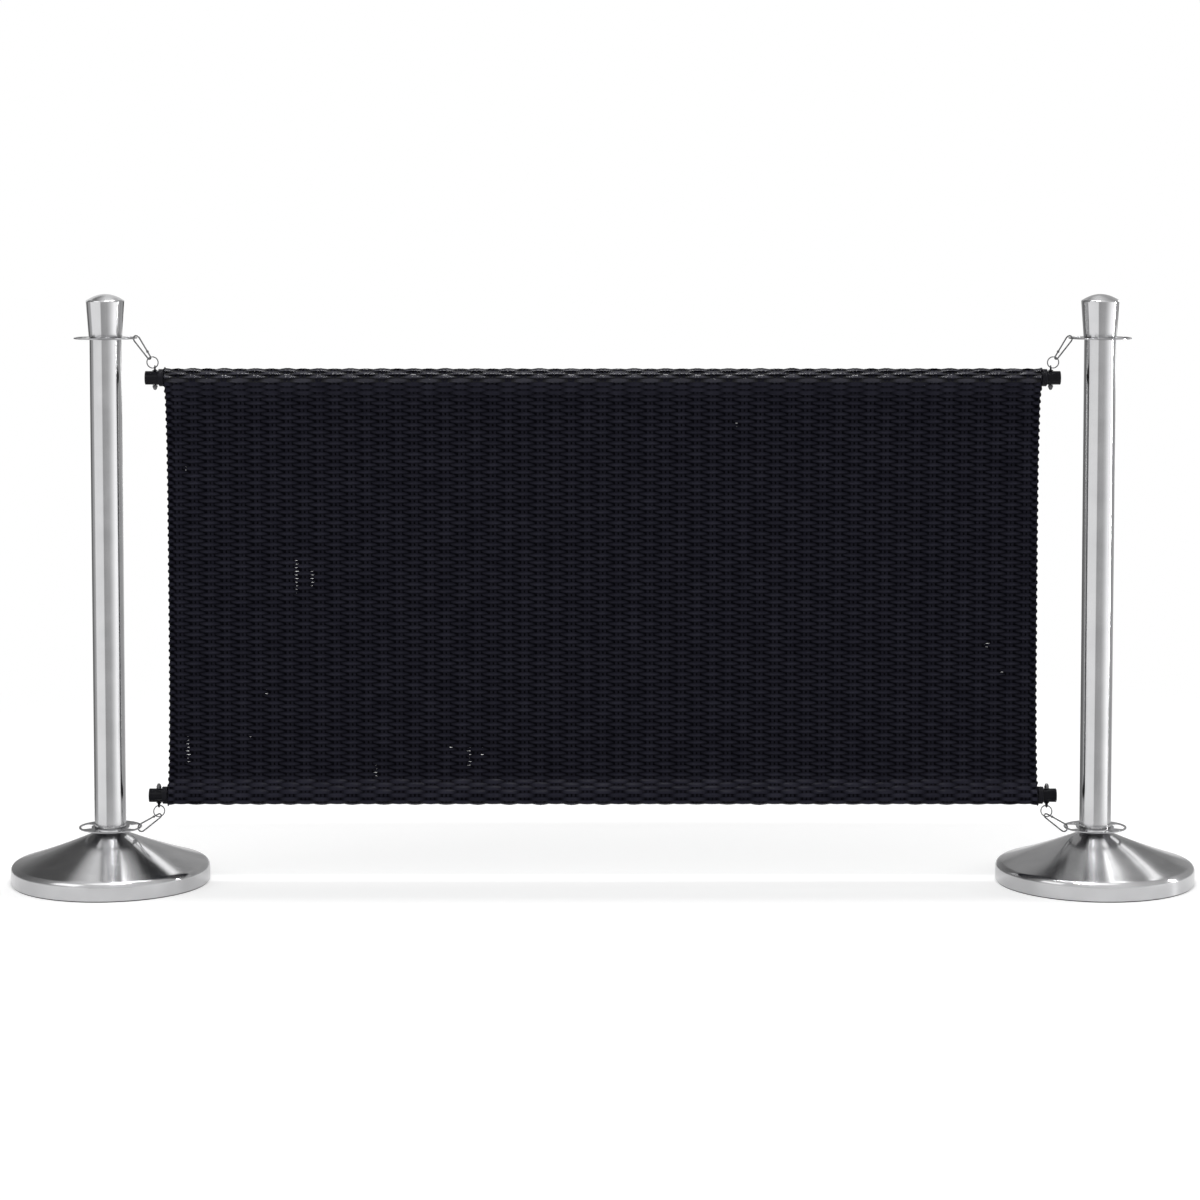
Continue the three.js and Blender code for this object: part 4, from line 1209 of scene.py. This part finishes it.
def floor():
    mesh = bpy.data.meshes.new("floor")
    mesh.from_pydata(circle(FLOOR_RADIUS, FLOOR_CORNERS).tolist(), [], [list(range(FLOOR_CORNERS))])
    look = bpy.data.materials.new("pale_floor")
    tree = bare(look)
    path = node(tree, "LightPath").outputs
    at = node(tree, "TexCoord").outputs["Object"]
    seen = maths(tree, "MULTIPLY", path["Is Camera Ray"], CAMERA_GLOW)
    strength = maths(tree, "MULTIPLY_ADD", path["Is Glossy Ray"], GLOSSY_GLOW, seen)
    diffuse = node(tree, "BsdfDiffuse", Color=FLOOR_GREY)
    glow = node(tree, "Emission", [("Strength", strength)], Color=WHITE)
    lit = node(tree, "AddShader", [(0, diffuse), (1, glow)])
    away = vector_maths(tree, "LENGTH", at).outputs["Value"]
    fade = maths(tree, "MULTIPLY", spread(tree, away, 0, 1, WHITE_FROM, WHITE_TO), path["Is Camera Ray"])
    faded = mix_shaders(tree, fade, lit, node(tree, "Emission", Color=WHITE, Strength=1.0))
    folded = vector_maths(tree, "ABSOLUTE", at)
    foot = (abs(middle("left_post_tube")[0]) * MM, 0, 0)
    to_foot = vector_maths(tree, "DISTANCE", folded, foot).outputs["Value"]
    beyond = spread(tree, to_foot, 0, 1, MIRROR_FROM, MIRROR_TO)
    unseen = maths(tree, "MULTIPLY", beyond, path["Is Glossy Ray"])
    whole = mix_shaders(tree, unseen, faded, node(tree, "BsdfTransparent"))
    node(tree, "OutputMaterial", [("Surface", whole)])
    mesh.materials.append(look)
    made = in_scene("floor", mesh)


# Grey screens and bright strips that stand round the set, by bearing in degrees
WALL_BANDS = [
    (-180, 0.95), (-170, 0.9), (-164, 0.12), (-122, 0.22), (-112, 0.45), (-95, 0.5), (-87, 1.1),
    (-22, 1.05), (-17, 0.42), (22, 0.5), (38, 0.75), (55, 1.15), (70, 1.5), (87, 1.5), (92, 0.42),
    (140, 0.45), (158, 0.6), (170, 1.0), (180, 0.95),
]
# The same above them: a canopy of long strips that meet behind the object
CANOPY_AXIS = (0, 0.98, -0.2)
CANOPY_BANDS = [
    (-180, 0.4), (-90, 0.3), (-60, 0.15), (-40, 0.25), (-15, 0.75), (12, 0.85), (40, 0.5), (60, 0.4),
    (90, 0.4), (180, 0.4),
]
SOFTBOX_LINE = (0, -0.26, 0.966)
SOFTBOX_EDGE = (0.95, 0.975)
SOFTBOX_GREY = (1.8, 1.8, 1.8, 1)
HORIZON = (-0.02, 0.04)
WORLD_LIGHT = 0.55


def bands(tree, place, stops, widest):
    """Grey values by bearing, from one side to the other: place runs from 0 to 1 over them."""
    ramp = node(tree, "ValToRGB", [("Fac", place)])
    points = ramp.color_ramp.elements
    points.remove(points[1])
    for k, (degrees, value) in enumerate(stops):
        at = (degrees + widest) / (2 * widest)
        spot = points[0] if k == 0 else points.new(at)
        spot.position = at
        spot.color = (value, value, value, 1)
    return ramp


def world_bands(tree, direction, stops):
    """Grey bands by the bearing of a direction: 0 in front of the object, negative to the left."""
    split = node(tree, "SeparateXYZ", [("Vector", direction)])
    back = maths(tree, "MULTIPLY", split.outputs["Y"], -1)
    angle = maths(tree, "ARCTAN2", split.outputs["X"], back)
    return bands(tree, spread(tree, angle, 0, 1, -math.pi, math.pi), stops, 180)


def world():
    made = bpy.data.worlds.new("studio")
    bpy.context.scene.world = made
    tree = bare(made)
    at = node(tree, "TexCoord").outputs["Generated"]
    parts = node(tree, "SeparateXYZ", [("Vector", at)])
    above = spread(tree, parts.outputs["Z"], 0, 1, *HORIZON, "SMOOTHSTEP")
    tilted = vector_maths(tree, "SUBTRACT", at, CANOPY_AXIS)
    set_round = node(tree, "Mix", [
        (0, above), (6, world_bands(tree, at, WALL_BANDS)), (7, world_bands(tree, tilted, CANOPY_BANDS)),
    ], data_type="RGBA").outputs[2]
    facing = vector_maths(tree, "DOT_PRODUCT", at, SOFTBOX_LINE).outputs["Value"]
    in_box = spread(tree, facing, 0, 1, *SOFTBOX_EDGE, "SMOOTHSTEP")
    boxed = node(tree, "Mix", [(0, in_box), (6, set_round), (7, SOFTBOX_GREY)], data_type="RGBA")
    studio = node(tree, "Background", [("Color", boxed.outputs[2])], Strength=1.0)
    plain = node(tree, "Background", Color=WHITE, Strength=1.0)
    soft = node(tree, "Background", Color=WHITE, Strength=WORLD_LIGHT)
    path = node(tree, "LightPath").outputs
    clear = maths(tree, "MAXIMUM", path["Is Camera Ray"], path["Is Transmission Ray"])
    glossy = mix_shaders(tree, path["Is Glossy Ray"], soft, studio)
    node(tree, "OutputWorld", [("Surface", mix_shaders(tree, clear, glossy, plain))])


# Painted reflections: curved glowing boards, seen only by glossy rays, hang about each base along the
# camera's mirrored line of sight and show in its cone as grey fields with bright strips between them.
# A row is the bearing of the cone's side that a strip is for, and its brightness.
BOARD_RADIUS = 1.0
# The camera's line of sight to each base; the boards are laid along its mirror so that their painted
# reflections land on the chosen bearings
BOARD_LINE = {"left": (-0.155, 0.966, -0.207), "right": (0.157, 0.966, -0.207)}
BASE_PAINTED_REFLECTIONS = {
    "left": [(-90, 0.42), (-74, 0.2), (-50, 0.08), (-20, 0.1), (-10, 0.5), (-4, 0.9), (12, 0.6),
             (15.2, 0.7), (15.5, 3.5), (18, 3.5), (18.4, 0.6), (24, 0.55), (33, 0.25), (37, 0.08),
             (49, 0.07), (50.5, 0.5), (51, 2.4), (56, 2.4), (57.5, 0.45), (66, 0.34), (90, 0.4)],
    "right": [(-90, 0.35), (-60, 0.34), (-26, 0.3), (-16, 0.38), (-12, 0.5), (0.2, 0.5), (0.6, 3.0),
              (2.6, 3.0), (3.0, 0.5), (4.6, 0.55), (5.4, 1.2), (7, 1.2), (8, 0.45), (15, 0.42), (28, 0.34),
              (31.5, 0.55), (32.5, 2.4), (36, 2.4), (37.5, 0.6), (46, 0.25), (70, 0.2), (90, 0.3)],
}
# The stretch of cone that the boards are laid out for, and how far past its two ends they go on
CONE_WIDTH, CONE_FOOT = 125.0, 30.0
BOARD_REACH = (-1.4, 2.6)
# In front the strips narrow with the cone, and towards the sides they don't
NARROW_BEARING, NARROW_FADE = 25, 13


def painted_reflection_boards(side):
    name = side + "_painted_reflection_boards"
    foot = middle(side + "_post_tube") * (1, 1, 0)
    line = np.array(BOARD_LINE[side])
    height = reach(side + "_base_cover")[1][2] - CONE_FOOT
    degrees, share = np.meshgrid(np.arange(-90, 91, 2.0), np.linspace(*BOARD_REACH, 13), indexing="ij")
    bearing = np.radians(degrees)
    on_cone = np.clip(share, 0, 1)
    radius = COVER_TOP_RADIUS + CONE_WIDTH * (1 - on_cone)
    level = CONE_FOOT + height * on_cone - 4 * COVER_DIP * on_cone * (1 - on_cone)
    slope = np.arctan((height - 4 * COVER_DIP * (1 - 2 * share)) / CONE_WIDTH)
    outward = np.stack([np.sin(bearing), -np.cos(bearing), 0 * bearing], -1)
    spot = foot + outward * radius[..., None] + np.stack([0 * level, 0 * level, level], -1)
    normal = outward * np.sin(slope)[..., None]
    normal[..., 2] = np.cos(slope)
    mirrored_line = line - 2 * (normal @ line)[..., None] * normal
    rows, columns = bearing.shape
    i, j = np.meshgrid(np.arange(rows - 1), np.arange(columns - 1), indexing="ij")
    quads = quads_of(i, j, i + 1, j + 1, columns)
    mesh = bpy.data.meshes.new(name)
    at = spot * MM + mirrored_line * BOARD_RADIUS
    mesh.from_pydata(at.reshape(-1, 3).tolist(), [], quads.reshape(-1, 4).tolist())
    upright = np.clip((NARROW_BEARING - abs(degrees)) / NARROW_FADE, 0, 1)
    value = degrees * (radius / (COVER_TOP_RADIUS + CONE_WIDTH)) ** upright
    set_attribute(mesh, "bearing", (value + 90) / 180)
    look = bpy.data.materials.new(side + "_boards")
    tree = bare(look)
    place = node(tree, "Attribute", attribute_name="bearing")
    grey = bands(tree, place.outputs["Fac"], BASE_PAINTED_REFLECTIONS[side], 90)
    # Painted reflection: a glow that only glossy rays see
    glow = node(tree, "Emission", [("Color", grey)], Strength=1.0)
    facing = node(tree, "NewGeometry")
    one_sided = mix_shaders(tree, facing.outputs["Backfacing"], node(tree, "BsdfTransparent"), glow)
    node(tree, "OutputMaterial", [("Surface", one_sided)])
    mesh.materials.append(look)
    made = in_scene(name, mesh)
    made.visible_camera = False
    made.visible_diffuse = False
    made.visible_shadow = False
    made.visible_transmission = False


def lamp(name, place, aim, size, power):
    data = bpy.data.lights.new(name, "AREA")
    data.shape = "RECTANGLE"
    data.size, data.size_y = size
    data.energy = power
    made = in_scene(name, data)
    made.location = place
    made.rotation_mode = "QUATERNION"
    made.rotation_quaternion = (Vector(aim) - Vector(place)).to_track_quat("-Z", "Y")


floor()
world()
for side in ("left", "right"):
    painted_reflection_boards(side)
# Each lamp's place, the point it is turned to, its two sides and its power
lamp("overhead", (0, 0.4, 3.4), (0, 0, 0.5), (1.6, 0.2), 24)
lamp("front_high", (0, -1.5, 3.5), (0, 0, 0.8), (1.2, 0.12), 20)
lamp("right_strip", (3.4, 0.12, 0.75), (0, 0, 0.6), (0.1, 1.3), 20)
lamp("front_left", (-3.5, -2.4, 2.6), (0, 0, 0.5), (2.4, 2.4), 22)
bpy.context.scene.view_settings.view_transform = "Standard"
